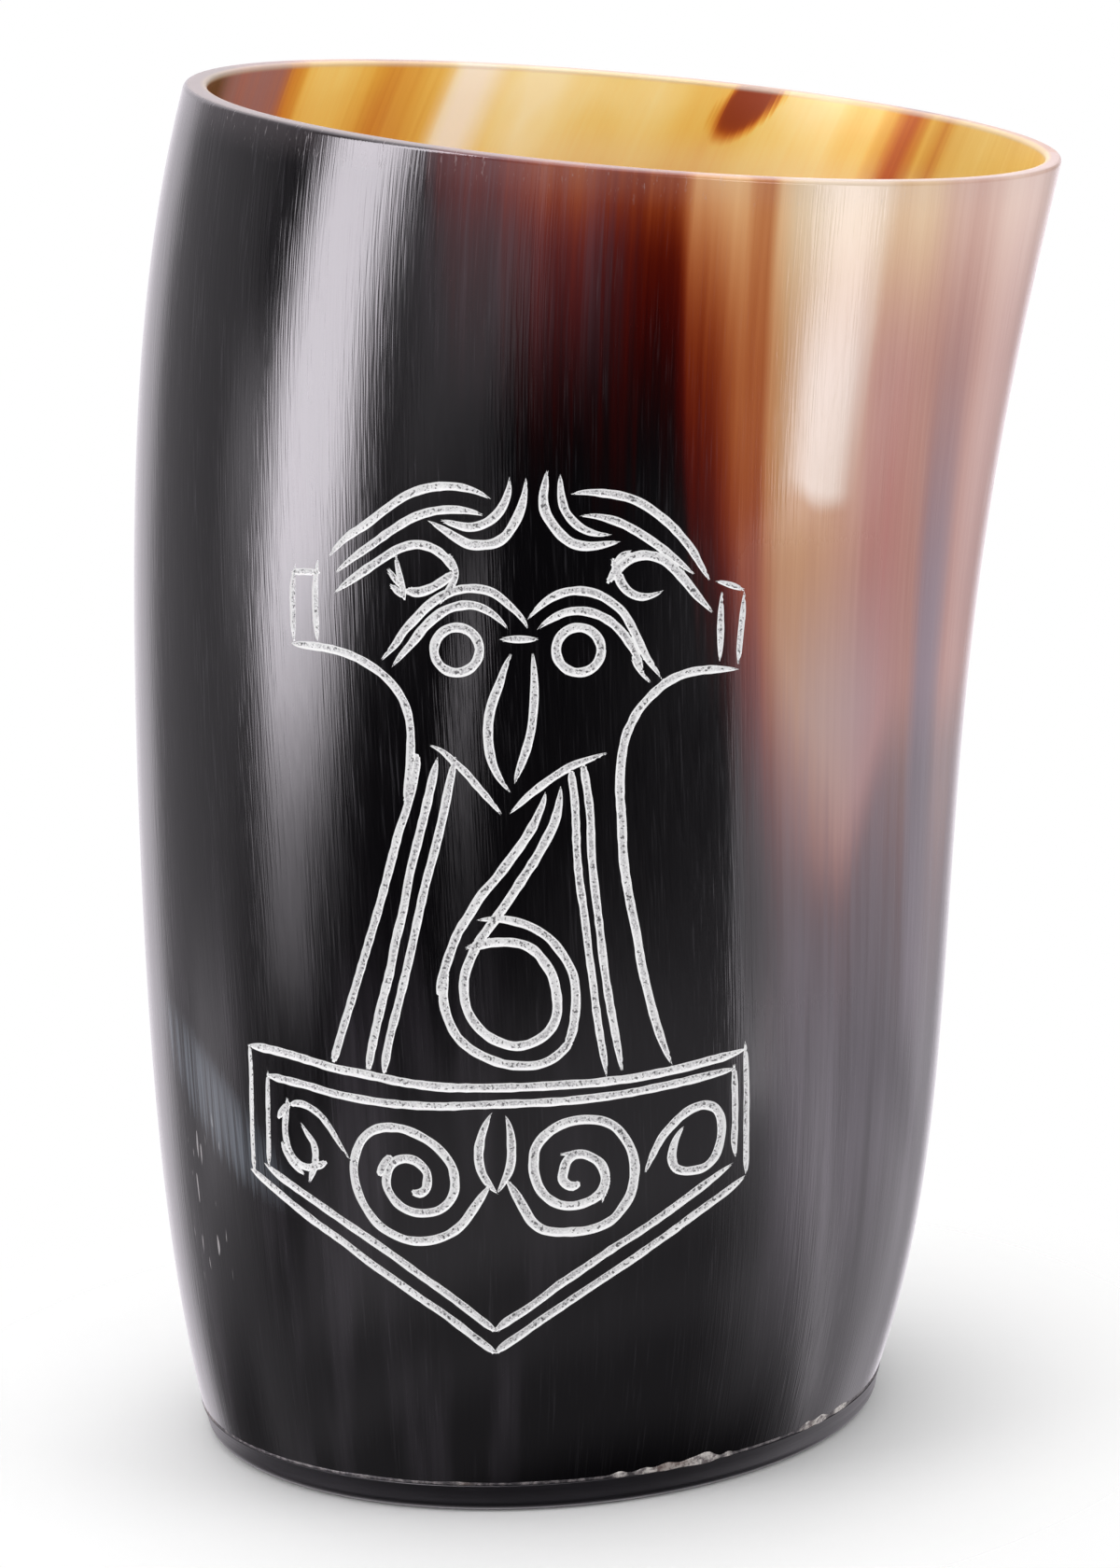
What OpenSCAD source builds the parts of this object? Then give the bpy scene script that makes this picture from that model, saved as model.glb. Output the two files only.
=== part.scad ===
// Horn drinking cup: a section of hollow horn, closed below by a rebated horn plate bedded in glue.
// +Z is up, the origin is the centre of the plate's underside, and the horn bends towards +X.

/* [Cup] */
// Height of the tall side of the rim above the table
cup_h = 130; // [110:1:150]
// Drop of the slanting rim from its tall side to its low side
rim_drop = 11.5; // [0:0.5:18]
// Depth of the rim from front to back
rim_depth = 77; // [66:1:84]
// Outer diameter of the horn where it meets the plate
base_d = 66.2; // [64:0.2:70]

/* [Tall side of the horn] */
// How far the rim stands out on the tall side from the upright through the plate's centre
tall_rim_reach = 25.8; // [22:0.1:34]
// Swell of the tall side beyond a straight line from foot to rim, a quarter of the way up
tall_quarter_swell = 4.1; // [2:0.1:6]
// Swell of the tall side halfway up
tall_half_swell = 5.3; // [3:0.1:8]
// Swell of the tall side three quarters of the way up
tall_three_quarter_swell = 4.8; // [2:0.1:7]

/* [Low side of the horn] */
// How far the rim stands out on the low side from the upright through the plate's centre
low_rim_reach = 55.1; // [48:0.1:60]
// Swell of the low side beyond a straight line from foot to rim, a quarter of the way up
low_quarter_swell = 1.2; // [-1:0.1:4]
// Swell of the low side halfway up, below zero because the side is drawn in there
low_half_swell = -1; // [-4:0.1:4]
// Swell of the low side three quarters of the way up
low_three_quarter_swell = -1.8; // [-4:0.1:3]

/* [Wall] */
// Wall at the rim on the tall side
tall_rim_wall = 2.2; // [1.6:0.1:3]
// Wall at the rim on the low side
low_rim_wall = 1.5; // [1.4:0.1:3]
// Wall at the foot of the hollow, just above the plate's seat
base_wall = 4.5; // [4.3:0.1:6]
// Radius that softens both edges of the rim
lip_round = 0.45; // [0.2:0.05:0.6]

/* [Base plate] */
// Thickness of the plate below the horn
plate_t = 2.9; // [2:0.1:5]
// Height of the step that fits inside the horn
step_h = 2.4; // [1.5:0.1:4]
// Amount by which the plate's side leans in at its foot
plate_taper = 0.45; // [0:0.05:1]
// Radius of the plate's rounded foot
foot_round = 1.3; // [0.5:0.1:1.8]

/* [Glue] */
// Thickness of the glue between the horn and the plate
glue_t = 0.15; // [0.1:0.05:0.3]
// Wall of the horn left around the seat that is bored for the plate's step
seat_wall = 3.1; // [2.6:0.1:3.3]
// Width of the bead squeezed out round the edge of the inner floor
bead_w = 1.4; // [0.8:0.1:2.5]
// Height of that bead above the inner floor
bead_h = 0.9; // [0.4:0.1:1.5]

/* [Hidden] */

// Facets round the horn, bands up each skin, and steps in each rounded edge
sides = 72;
bands = 20;
round_steps = 6;
// Overrun that carries a cut past the face it opens
overrun = 0.5;
// Play that keeps the bead's curved back off the horn, and the film's edge inside the outline
glue_play = 0.05;

base_r = base_d / 2;
seam_z = plate_t + glue_t;
floor_z = plate_t + step_h;
seat_top = floor_z + glue_t;
seat_r = base_r - seat_wall;
step_r = seat_r - glue_t;
hollow_r = base_r - base_wall;
horn_h = cup_h - seam_z;
low_horn_h = horn_h - rim_drop;
mean_rim_wall = (tall_rim_wall + low_rim_wall) / 2;
lip_share = lip_round / mean_rim_wall;
lip_drop_share = lip_round / horn_h;
// Where the hollow starts, low enough for the seat to open its floor, and the lowest band's top above it
hollow_start_share = (seat_top - overrun - seam_z) / horn_h;
first_band_share = mix(hollow_start_share, 1 - lip_drop_share, 1 / bands);

tall_swells = [0, tall_quarter_swell, tall_half_swell, tall_three_quarter_swell, 0];
low_swells = [0, low_quarter_swell, low_half_swell, low_three_quarter_swell, 0];
rim_half = norm([tall_rim_reach + low_rim_reach, rim_drop]) / 2;
rim_oval_share = rim_depth / 2 / rim_half;

function mix(a, b, share) = a + (b - a) * share;

// Weight of swell number i at a share of the way up, in the one smooth curve through evenly spaced swells
function swell_weight(i, last, up, j = 0) =
    j > last ? 1 : (j == i ? 1 : (last * up - j) / (i - j)) * swell_weight(i, last, up, j + 1);

function swell(swells, up) =
    let (last = len(swells) - 1)
    swells * [for (i = [0 : last]) swell_weight(i, last, up)];

// The two ends of a slice across the horn, which tilts steadily from the level base to the slanting rim
function tall_end(up) = [-mix(base_r, tall_rim_reach, up) - swell(tall_swells, up), seam_z + horn_h * up];
function low_end(up) = [mix(base_r, low_rim_reach, up) + swell(low_swells, up), seam_z + low_horn_h * up];

// A point of a slice: up is the share of the way up, into the share of the way through the wall
function horn_point(up, into, angle) =
    let (
        tall = tall_end(up),
        low = low_end(up),
        along = (low - tall) / norm(low - tall),
        half = norm(low - tall) / 2,
        tall_wall = into * mix(base_wall, tall_rim_wall, up),
        low_wall = into * mix(base_wall, low_rim_wall, up),
        mean_wall = (tall_wall + low_wall) / 2,
        centre = (tall + low + (tall_wall - low_wall) * along) / 2,
        across = (half - mean_wall) * cos(angle),
        depth = (half * mix(1, rim_oval_share, up) - mean_wall) * sin(angle)
    )
    [centre.x + across * along.x, depth, centre.y + across * along.y];

// The wall's section as [up, into] pairs: up the outer skin, over the rounded rim and down inside
wall_section = concat(
    [for (i = [0 : bands - 1]) [(1 - lip_drop_share) * i / bands, 0]],
    [for (i = [0 : round_steps])
        let (turn = 90 * i / round_steps)
        [1 - lip_drop_share * (1 - sin(turn)), lip_share * (1 - cos(turn))]],
    [for (i = [round_steps : -1 : 0])
        let (turn = 90 * i / round_steps)
        [1 - lip_drop_share * (1 - sin(turn)), 1 - lip_share * (1 - cos(turn))]],
    [for (i = [1 : bands]) [mix(1 - lip_drop_share, hollow_start_share, i / bands), 1]]
);

// Closed solid through a chain of slices, given as [up, into] pairs: the bands between them and two flat ends
module horn_loft(chain) {
    rings = len(chain);
    points = [
        for (section = chain)
            for (k = [0 : sides - 1])
                horn_point(section[0], section[1], 360 * k / sides)
    ];
    skin = [
        for (r = [0 : rings - 2])
            for (k = [0 : sides - 1])
                let (
                    next = (k + 1) % sides,
                    a = r * sides + k,
                    b = r * sides + next
                )
                each [[a, a + sides, b + sides], [a, b + sides, b]]
    ];
    first_end = [for (k = [0 : sides - 1]) k];
    last_end = [for (k = [sides - 1 : -1 : 0]) (rings - 1) * sides + k];
    polyhedron(points, concat(skin, [first_end, last_end]), convexity = 6);
}

// The horn, bored round at its foot for the plate's step
module horn_wall() {
    color([0.17, 0.13, 0.13])
    difference() {
        horn_loft(wall_section);
        translate([0, 0, seam_z - overrun])
            cylinder(r = seat_r, h = seat_top - seam_z + overrun, $fn = sides);
    }
}

// The closing plate: a flange that carries on the horn's side to a rounded foot, and a step that fits the seat
module base_plate() {
    foot_r = base_r - plate_taper;
    color([0.07, 0.06, 0.065])
    rotate_extrude($fn = sides)
        polygon(concat(
            [[0, 0]],
            [for (i = [0 : round_steps])
                let (turn = 90 * i / round_steps)
                [foot_r - foot_round * (1 - sin(turn)), foot_round * (1 - cos(turn))]],
            [[base_r, plate_t], [step_r, plate_t], [step_r, floor_z], [0, floor_z]]
        ));
}

// Thin film of glue between the flange and the horn's end, round the step, and over the step's edge
module glue_film() {
    film_edge_r = hollow_r - bead_w / 2;
    rotate_extrude($fn = sides)
        polygon([
            [step_r, plate_t],
            [base_r - glue_play, plate_t],
            [base_r - glue_play, seam_z],
            [seat_r, seam_z],
            [seat_r, seat_top],
            [film_edge_r, seat_top],
            [film_edge_r, floor_z],
            [step_r, floor_z]
        ]);
}

// Bead squeezed out round the inner floor: a hollow fillet whose back follows the horn's inner face
module glue_bead() {
    back_into = 1 + glue_play / base_wall;
    foot_r = hollow_r - bead_w;
    intersection() {
        horn_loft([[hollow_start_share, back_into], [first_band_share, back_into]]);
        rotate_extrude($fn = sides)
            polygon(concat(
                [for (i = [0 : round_steps])
                    let (turn = 90 * i / round_steps)
                    [foot_r + bead_w * sin(turn), floor_z + bead_h * (1 - cos(turn))]],
                [[seat_r, floor_z + bead_h], [seat_r, floor_z]]
            ));
    }
}

// All the cured glue, which is one piece
module glue_joint() {
    color([0.72, 0.7, 0.66])
    union() {
        glue_film();
        glue_bead();
    }
}

horn_wall();
base_plate();
glue_joint();
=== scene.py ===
import bpy
import numpy as np
from mathutils import Matrix, Vector
from mathutils.geometry import delaunay_2d_cdt


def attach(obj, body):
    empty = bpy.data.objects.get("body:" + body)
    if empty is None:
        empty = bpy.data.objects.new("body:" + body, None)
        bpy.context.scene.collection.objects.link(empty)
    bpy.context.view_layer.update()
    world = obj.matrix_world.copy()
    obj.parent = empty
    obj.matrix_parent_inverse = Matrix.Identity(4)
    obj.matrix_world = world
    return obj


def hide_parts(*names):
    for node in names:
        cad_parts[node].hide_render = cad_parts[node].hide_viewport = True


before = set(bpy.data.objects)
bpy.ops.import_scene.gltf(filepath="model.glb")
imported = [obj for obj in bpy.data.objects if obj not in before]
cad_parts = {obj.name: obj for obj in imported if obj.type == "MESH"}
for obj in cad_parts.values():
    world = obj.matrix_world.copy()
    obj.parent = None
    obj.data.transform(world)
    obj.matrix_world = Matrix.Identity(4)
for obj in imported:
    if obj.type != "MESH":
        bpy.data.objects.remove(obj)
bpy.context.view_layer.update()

scene = bpy.context.scene
MM = 0.001

# The horn's real sizes in millimetres, the same named values as the CAD part
CUP_HEIGHT = 130.0
RIM_DROP = 11.5
RIM_DEPTH = 77.0
BASE_RADIUS = 33.1
TALL_RIM_REACH = 25.8
TALL_SWELLS = (0.0, 4.1, 5.3, 4.8, 0.0)
LOW_RIM_REACH = 55.1
LOW_SWELLS = (0.0, 1.2, -1.0, -1.8, 0.0)
TALL_RIM_WALL = 2.2
LOW_RIM_WALL = 1.5
BASE_WALL = 4.5
LIP_ROUND = 0.45
PLATE_THICK = 2.9
STEP_HEIGHT = 2.4
PLATE_TAPER = 0.45
FOOT_ROUND = 1.3
GLUE_THICK = 0.15
SEAT_WALL = 3.1
BEAD_WIDTH = 1.4
BEAD_HEIGHT = 0.9

SEAM_Z = PLATE_THICK + GLUE_THICK
FLOOR_Z = PLATE_THICK + STEP_HEIGHT
SEAT_TOP = FLOOR_Z + GLUE_THICK
SEAT_RADIUS = BASE_RADIUS - SEAT_WALL
STEP_RADIUS = SEAT_RADIUS - GLUE_THICK
HORN_HEIGHT = CUP_HEIGHT - SEAM_Z
LOW_HORN_HEIGHT = HORN_HEIGHT - RIM_DROP
MEAN_RIM_WALL = (TALL_RIM_WALL + LOW_RIM_WALL) / 2
LIP_SHARE = LIP_ROUND / MEAN_RIM_WALL
LIP_DROP_SHARE = LIP_ROUND / HORN_HEIGHT
RIM_HALF = np.hypot(TALL_RIM_REACH + LOW_RIM_REACH, RIM_DROP) / 2
RIM_OVAL_SHARE = RIM_DEPTH / 2 / RIM_HALF
SKIN_TOP = 1 - LIP_DROP_SHARE

# The photograph's camera, solved from the rim and the foot
CAMERA_PLACE = (-0.3, -560.0, 192.19)
CAMERA_YAW = -0.0097617
CAMERA_PITCH = 0.2299665
CAMERA_ROLL = -0.0577945
FOCAL_PIXELS = 6470.52
PHOTO_WIDTH = 1200
PHOTO_HEIGHT = 1680
SENSOR = 36.0

# The photograph's rows and columns that start the search for a pixel's place on the horn: the foot's row,
# the rim's height above it, and the middle and half width of the outline at the foot and at the rim
FOOT_ROW = 1587
RIM_RISE = 1410
OUTLINE_MIDDLES = (567, 661)
OUTLINE_HALVES = (338, 474)

# Fineness of the meshes, and the small step in turn or height by which slopes are worked out
AROUND = 232
UP_BANDS = 88
INNER_BANDS = 40
LIP_STEPS = 6
ROUND_STEPS = 8
RING_STEPS = 24
NUDGE = 1e-4
# Edges that turn by more than this many radians are sharp
SHARP_ANGLE = 0.6


def mix(first, last, share):
    """The value that lies a share of the way from the first to the last."""
    return first + (last - first) * share


def once_round(columns, start=0.0):
    """Even turns from a start once round to it again, in radians."""
    return start + 2 * np.pi * np.arange(columns + 1) / columns


def round_row(turn, radius, height):
    """Points round the upright axis: the radius times the turn's cosine and sine, and the height, where each
    of the two is one number or one for each turn."""
    return np.stack(np.broadcast_arrays(radius * np.cos(turn), radius * np.sin(turn), height), axis=-1)


# Shape of the horn

def swell(swells, up):
    """The one quartic through evenly spaced swells, as the sum of each swell times its Lagrange weight."""
    last = len(swells) - 1
    total = 0 * up
    for i, height in enumerate(swells):
        weight = 1 + 0 * up
        for j in range(last + 1):
            if j != i:
                weight = weight * (last * up - j) / (i - j)
        total = total + height * weight
    return total


def horn_point(turn, up, into):
    """A point of the horn, in millimetres. Up is the share of the way from foot to rim, into the share of
    the way through the wall. The slice there is an oval between its tall end and its low end; its half
    length and half depth, each less the wall so far, times the turn's cosine and sine give the point."""
    tall_x = -mix(BASE_RADIUS, TALL_RIM_REACH, up) - swell(TALL_SWELLS, up)
    low_x = mix(BASE_RADIUS, LOW_RIM_REACH, up) + swell(LOW_SWELLS, up)
    tall_z = SEAM_Z + HORN_HEIGHT * up
    low_z = SEAM_Z + LOW_HORN_HEIGHT * up
    length = np.hypot(low_x - tall_x, low_z - tall_z)
    along_x = (low_x - tall_x) / length
    along_z = (low_z - tall_z) / length
    tall_wall = into * mix(BASE_WALL, TALL_RIM_WALL, up)
    low_wall = into * mix(BASE_WALL, LOW_RIM_WALL, up)
    mean_wall = (tall_wall + low_wall) / 2
    shift = (tall_wall - low_wall) / 2
    across = (length / 2 - mean_wall) * np.cos(turn) + shift
    depth = (length / 2 * mix(1, RIM_OVAL_SHARE, up) - mean_wall) * np.sin(turn)
    x = (tall_x + low_x) / 2 + across * along_x
    z = (tall_z + low_z) / 2 + across * along_z
    return np.stack(np.broadcast_arrays(x, depth, z), axis=-1)


def skin_frame(turn, up):
    """Where a point of the outer skin is, how it moves for a radian of turn and for the whole way up, and
    the outward normal: the cross product of the two."""
    place = horn_point(turn, up, 0.0)
    by_turn = (horn_point(turn + NUDGE, up, 0.0) - horn_point(turn - NUDGE, up, 0.0)) / (2 * NUDGE)
    by_up = (horn_point(turn, up + NUDGE, 0.0) - horn_point(turn, up - NUDGE, 0.0)) / (2 * NUDGE)
    normal = np.cross(by_turn, by_up)
    return place, by_turn, by_up, normal / np.linalg.norm(normal, axis=-1, keepdims=True)


# Camera

def camera_axes():
    """The camera's right, up and forward, from its yaw, pitch and roll."""
    turned = Matrix.Rotation(CAMERA_YAW, 3, "Z") @ Matrix.Rotation(np.pi / 2 - CAMERA_PITCH, 3, "X")
    turned = turned @ Matrix.Rotation(CAMERA_ROLL, 3, "Z")
    axes = np.array(turned)
    return axes[:, 0], axes[:, 1], -axes[:, 2]


def photo_pixel(place):
    """The pixel of the photograph at which a point in millimetres is seen."""
    right, above, forward = camera_axes()
    ray = place - np.array(CAMERA_PLACE)
    away = ray @ forward
    across = PHOTO_WIDTH / 2 + FOCAL_PIXELS * (ray @ right) / away
    down = PHOTO_HEIGHT / 2 - FOCAL_PIXELS * (ray @ above) / away
    return np.stack([across, down], axis=-1)


def add_camera():
    """The photograph's camera: its focal length in pixels gives the lens for the frame's longer side."""
    data = bpy.data.cameras.new("photo_camera")
    data.sensor_fit = "AUTO"
    data.sensor_width = SENSOR
    data.lens = FOCAL_PIXELS * SENSOR / PHOTO_HEIGHT
    data.clip_start = 0.01
    data.clip_end = 20.0
    right, above, forward = camera_axes()
    camera = bpy.data.objects.new("photo_camera", data)
    matrix = Matrix.Identity(4)
    for row in range(3):
        matrix[row][0] = right[row]
        matrix[row][1] = above[row]
        matrix[row][2] = -forward[row]
        matrix[row][3] = CAMERA_PLACE[row] * MM
    camera.matrix_world = matrix
    scene.collection.objects.link(camera)
    scene.camera = camera


add_camera()


def ring(centre, radius):
    """Points round a circle in the photograph, the last one on the first."""
    angle = once_round(RING_STEPS)
    return np.stack([centre[0] + radius * np.cos(angle), centre[1] + radius * np.sin(angle)], axis=-1)


# Carving: each line's width in millimetres, how many millimetres each end takes to come to a point,
# and the points of the photograph that the line's middle runs through
CARVED_LINES = {
    "crown_left_outer_arc": (0.78, 5, 4, (
        (351, 598), (370, 577), (392, 562), (414, 545), (438, 529.5), (467, 521.5), (498, 523),
        (512, 527.5), (526, 535))),
    "crown_left_second_arc": (0.78, 5, 4, (
        (358, 615), (378, 598), (399, 583), (420, 568), (444, 554), (463, 548), (484, 546), (508, 549),
        (520, 553))),
    "crown_left_inner_hook": (0.85, 4, 3, (
        (546, 511), (542, 535), (535, 548), (523, 559), (503, 565), (486, 561.5), (472, 557))),
    "crown_left_outer_hook": (0.9, 5, 4, (
        (563.5, 512), (561, 534), (557, 548), (549, 564), (540, 576), (530, 582), (516, 584), (502, 583),
        (490, 577), (476, 568), (458, 558))),
    "crown_right_outer_hook": (0.9, 3, 4, (
        (586, 504), (584, 519), (582, 534), (584, 548), (592, 562), (602, 574), (613, 582), (625, 585),
        (637, 585), (650, 583), (665, 580))),
    "crown_right_inner_hook": (0.78, 3, 4, (
        (600.5, 508), (600.5, 521), (602, 535), (605, 546), (613, 557.5), (624, 566.5), (637, 571.5),
        (656, 572.5))),
    "crown_right_outer_arc": (0.78, 4, 5, (
        (611.5, 529.5), (628, 527.5), (646, 528.5), (664, 531), (678, 535), (692, 542), (704, 550.5),
        (718, 562), (731, 576), (742, 590), (750, 604), (762, 624))),
    "crown_right_second_arc": (0.78, 4, 5, (
        (621, 553), (636, 553), (650, 555.5), (664, 560), (678, 567), (692, 575.5), (707, 586), (720, 596),
        (731, 605), (746, 617))),
    "ear_left_arc": (0.85, 5, 1, (
        (357, 636), (370, 626), (391, 611), (412, 597), (426, 588.5), (449, 583.5), (468, 590), (480, 601),
        (487, 612))),
    "ear_left_loop": (0.85, 0.5, 1, ((485, 615), (474, 623), (460, 631), (448, 634.5), (434, 632))),
    "ear_left_stub": (0.6, 2, 2, ((480, 592), (486, 605), (488, 615), (485, 625), (478, 636), (471, 648))),
    "ear_left_cut": (0.6, 2, 1, ((423.5, 594), (427, 612), (431, 630), (433, 643))),
    "ear_left_cut_upper": (0.55, 1, 1, ((415.5, 609), (422, 619), (430, 630))),
    "ear_left_cut_lower": (0.6, 1, 1, ((418, 626), (425, 633), (431.5, 641))),
    "ear_right_arc": (0.9, 5, 1.5, (
        (765.5, 658), (756, 648), (746, 637), (734, 622), (722, 609), (711, 600), (700, 596), (688, 595),
        (676, 598.5), (666, 606), (657, 616), (651, 625))),
    "ear_right_loop": (0.85, 2, 4, (
        (656, 598), (661, 612), (666, 625), (675, 635), (687, 639.5), (699, 638), (711, 632))),
    "ear_right_cut": (0.6, 1, 1, ((677, 591), (665, 597), (658, 606))),
    "brow_left_outer": (0.8, 5, 5, (
        (407, 709), (415, 700), (423, 691), (433, 676), (446, 662), (457, 650.5), (475, 638), (489, 632.5),
        (503, 630.5), (525.5, 634), (547, 650), (558, 661), (567, 676))),
    "brow_left_inner": (0.85, 5, 5, (
        (419.5, 715), (430, 702), (443, 687), (453, 674), (466, 661.5), (477, 654), (488, 650),
        (506, 648.5), (525, 656), (536, 665), (545, 675))),
    "brow_right_outer": (0.8, 4, 5, (
        (565, 664), (576, 652), (591, 640.5), (606, 634.5), (617, 633), (630, 634), (643, 638), (656, 646),
        (667, 655.5), (675, 668), (681, 680), (687, 693), (694, 706), (702, 717), (710, 728))),
    "brow_right_inner": (0.8, 4, 3, (
        (575, 675), (585, 667), (595, 661), (607, 656), (621, 654.5), (640, 658.5), (654, 666), (664, 675),
        (674, 688), (682, 702), (689, 719))),
    "brow_right_tail": (0.65, 1, 4, ((678, 703), (684, 715), (691, 725), (699, 733))),
    "eye_left_ring": (0.86, 0, 0, ring((489.3, 696.5), 24.3)),
    "eye_right_ring": (0.86, 0, 0, ring((620, 696.5), 24.2)),
    "frown": (0.84, 2.4, 2.4, ((535, 685), (556, 685), (577, 685))),
    "beak_left": (0.9, 6, 5, (
        (549, 698), (541, 715), (535, 733), (528.5, 750), (524.5, 765), (522.8, 783), (524, 802),
        (528, 819), (534, 832), (540, 841), (547, 849))),
    "beak_right": (0.78, 5, 3, (
        (570.5, 697), (571.6, 711), (572.6, 733), (572.3, 750), (571, 767), (569.5, 780), (567, 792),
        (563, 806), (558, 820), (553.6, 832), (551.5, 840))),
    "tab_left_top": (0.6, 1, 1, ((312, 613), (327, 612.5), (343, 613.5))),
    "tab_left_outer": (0.62, 3, 2, ((316.5, 605), (314, 621), (313.6, 655), (315, 688))),
    "tab_left_inner": (0.66, 3, 2, ((340.6, 600), (338.5, 615), (337.5, 645), (338.5, 665), (340, 688))),
    "tab_right_top": (0.6, 2, 1.5, ((766.5, 622.5), (782, 626.5), (798, 632.5))),
    "tab_right_inner": (0.66, 4, 3, ((774, 631), (772.5, 655), (772, 685), (771.3, 709))),
    "tab_right_outer": (0.62, 3, 3, ((797.5, 633), (796, 655), (793, 685), (791, 715))),
    "shoulder_left": (0.78, 2, 2, (
        (312, 689.5), (326, 691), (345, 693.5), (361, 697), (378, 703), (394, 711.5), (409, 722),
        (421, 734), (430.5, 748), (436.5, 763), (439.5, 780), (440, 800), (439, 822), (437, 842),
        (434, 862))),
    "shaft_left": (0.8, 1, 1, (
        (447, 808), (444.5, 828), (440, 850), (434, 872), (428, 889), (422.5, 910), (408, 965),
        (392.5, 1018), (376.5, 1072), (365, 1110), (357, 1138))),
    "shaft_left_second": (0.84, 3, 1.5, (
        (469, 811), (464, 832), (457.5, 861), (449, 896), (439.5, 934), (431, 980), (423.5, 1010),
        (418, 1040), (409, 1075), (401, 1110), (397, 1130), (394.5, 1147))),
    "shaft_left_third": (0.8, 3, 1.5, (
        (487.5, 809), (485, 824), (481.5, 840), (474, 877), (465, 914), (456.5, 945), (448, 983),
        (440.5, 1018), (425, 1083), (418, 1110), (411, 1151))),
    "collar_left": (0.7, 4, 4, (
        (458, 797.5), (472, 804), (486, 816), (499, 828), (510, 841), (524, 857), (539, 875))),
    "collar_right": (0.74, 4, 4, (
        (653, 806), (640, 810.5), (626, 815.5), (613, 820.5), (600, 828), (588, 836), (578, 843.5),
        (566, 853), (556, 862.5), (546, 872))),
    "shoulder_right": (0.82, 4, 4, (
        (792, 717), (776, 717), (753.5, 718), (739, 720.5), (727, 724.5), (714, 731.5), (703, 740.5),
        (692, 751.5), (682.5, 763.5), (676.5, 775), (671.5, 786), (668, 800), (665.5, 817), (664.3, 835),
        (664.5, 856), (665.6, 870), (668.2, 922), (677, 976), (682, 1000), (688, 1037), (693.5, 1060),
        (701.5, 1091), (707.5, 1110), (713.5, 1126), (720.5, 1141))),
    "shaft_right_third": (0.72, 1, 4, (
        (611.5, 825), (613, 836), (615.6, 856), (616.8, 876), (618, 910), (621, 945), (625.5, 976),
        (628.5, 1000), (631, 1022), (635, 1050), (639.5, 1087), (643, 1110), (646.5, 1130), (650.5, 1155))),
    "shaft_right_second": (0.74, 1, 4, (
        (624.5, 819), (627.5, 836), (630, 852), (632, 869), (634, 918), (637.5, 953), (642, 990),
        (647.5, 1037), (652.5, 1070), (657.5, 1098), (661.5, 1120), (667, 1150))),
    "knot_outer": (0.86, 4, 2.5, (
        (584.5, 848), (582, 860), (577, 872), (571.5, 884), (562, 900), (546, 922), (532.5, 940),
        (514.5, 961), (503, 980), (491, 999), (483, 1019), (477, 1037), (472, 1053), (468.5, 1068))),
    "knot_outer_bowl": (0.86, 1.5, 1, (
        (478.5, 1034), (475.5, 1054), (475.5, 1075), (480.5, 1093), (490, 1111), (504, 1124),
        (521.5, 1133.5), (540, 1140), (559, 1142), (576, 1141), (590.5, 1135.5), (602, 1126.5),
        (612, 1114))),
    "knot_outer_return": (0.82, 0.5, 4, (
        (608, 1119), (613, 1106), (615.6, 1091), (617, 1075), (616.6, 1060), (614, 1044), (608, 1031),
        (599, 1017.5), (589, 1006), (578, 998), (564, 991), (550, 987), (539, 985), (525, 985),
        (511, 986))),
    "knot_inner": (0.88, 4, 2, (
        (601, 842), (599.5, 857), (597, 871), (593, 884), (585, 900), (574, 920), (561, 940), (548, 960),
        (535, 979), (521, 998), (511, 1013), (503, 1030), (498, 1045), (497, 1061), (501, 1083),
        (510, 1098), (522.5, 1110), (536, 1117), (552, 1121), (564, 1119.5), (575, 1115), (584, 1109),
        (591, 1101), (596.5, 1087), (597, 1073), (595, 1058), (591.5, 1045), (583, 1031), (574, 1020),
        (564, 1013.5), (550, 1010), (536, 1009.5), (524, 1010.5), (513, 1013), (498.5, 1016.5))),
    "hammer_top_outer": (0.84, 2, 3, (
        (266, 1120), (285, 1123.5), (314, 1131), (335, 1137.5), (360, 1145), (383, 1149.5), (407, 1154.5),
        (425.5, 1158.5), (455, 1163), (475, 1165), (502, 1165.7), (540, 1165.5), (578, 1164), (610, 1162),
        (640, 1160), (655, 1158), (676.5, 1155.5), (700, 1151), (734.5, 1143.5), (760, 1136.5), (780, 1131),
        (799, 1123.5))),
    "hammer_top_inner": (0.78, 1.5, 3, (
        (286, 1152), (305, 1157), (330.5, 1163.5), (355, 1171), (375, 1175.5), (391.5, 1178.5), (415, 1182),
        (444.5, 1184.5), (475, 1185.5), (505, 1184.5), (540, 1183), (578, 1181.5), (598, 1180.3),
        (640, 1176), (676.5, 1170.7), (700, 1166), (734.5, 1158.5), (760, 1152), (788, 1144.5))),
    "hammer_left_outer": (0.56, 1.5, 1, (
        (267, 1119), (268.6, 1140), (269.5, 1180), (270.8, 1225), (272.5, 1254))),
    "hammer_left_inner": (0.56, 2, 1.5, (
        (287, 1147), (286.8, 1165), (287.2, 1195), (287.8, 1225), (288, 1249))),
    "hammer_right_outer": (0.6, 3, 2, (
        (798.4, 1115), (799.2, 1135), (800, 1165), (799.7, 1205), (799.4, 1259))),
    "hammer_right_inner": (0.66, 2, 2, (
        (786.6, 1140), (787.4, 1165), (787.6, 1205), (786.8, 1225), (788.4, 1240))),
    "hammer_point_left_outer": (0.78, 2, 1.5, (
        (268.5, 1251.5), (281, 1262.5), (295, 1274.5), (315, 1291.5), (335, 1307.3), (368.5, 1331.3),
        (395, 1352), (425, 1373), (452.5, 1392.5), (475, 1407.5), (495, 1422.5), (515, 1438),
        (532, 1450.5))),
    "hammer_point_left_inner": (0.78, 2.5, 1.5, (
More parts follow.
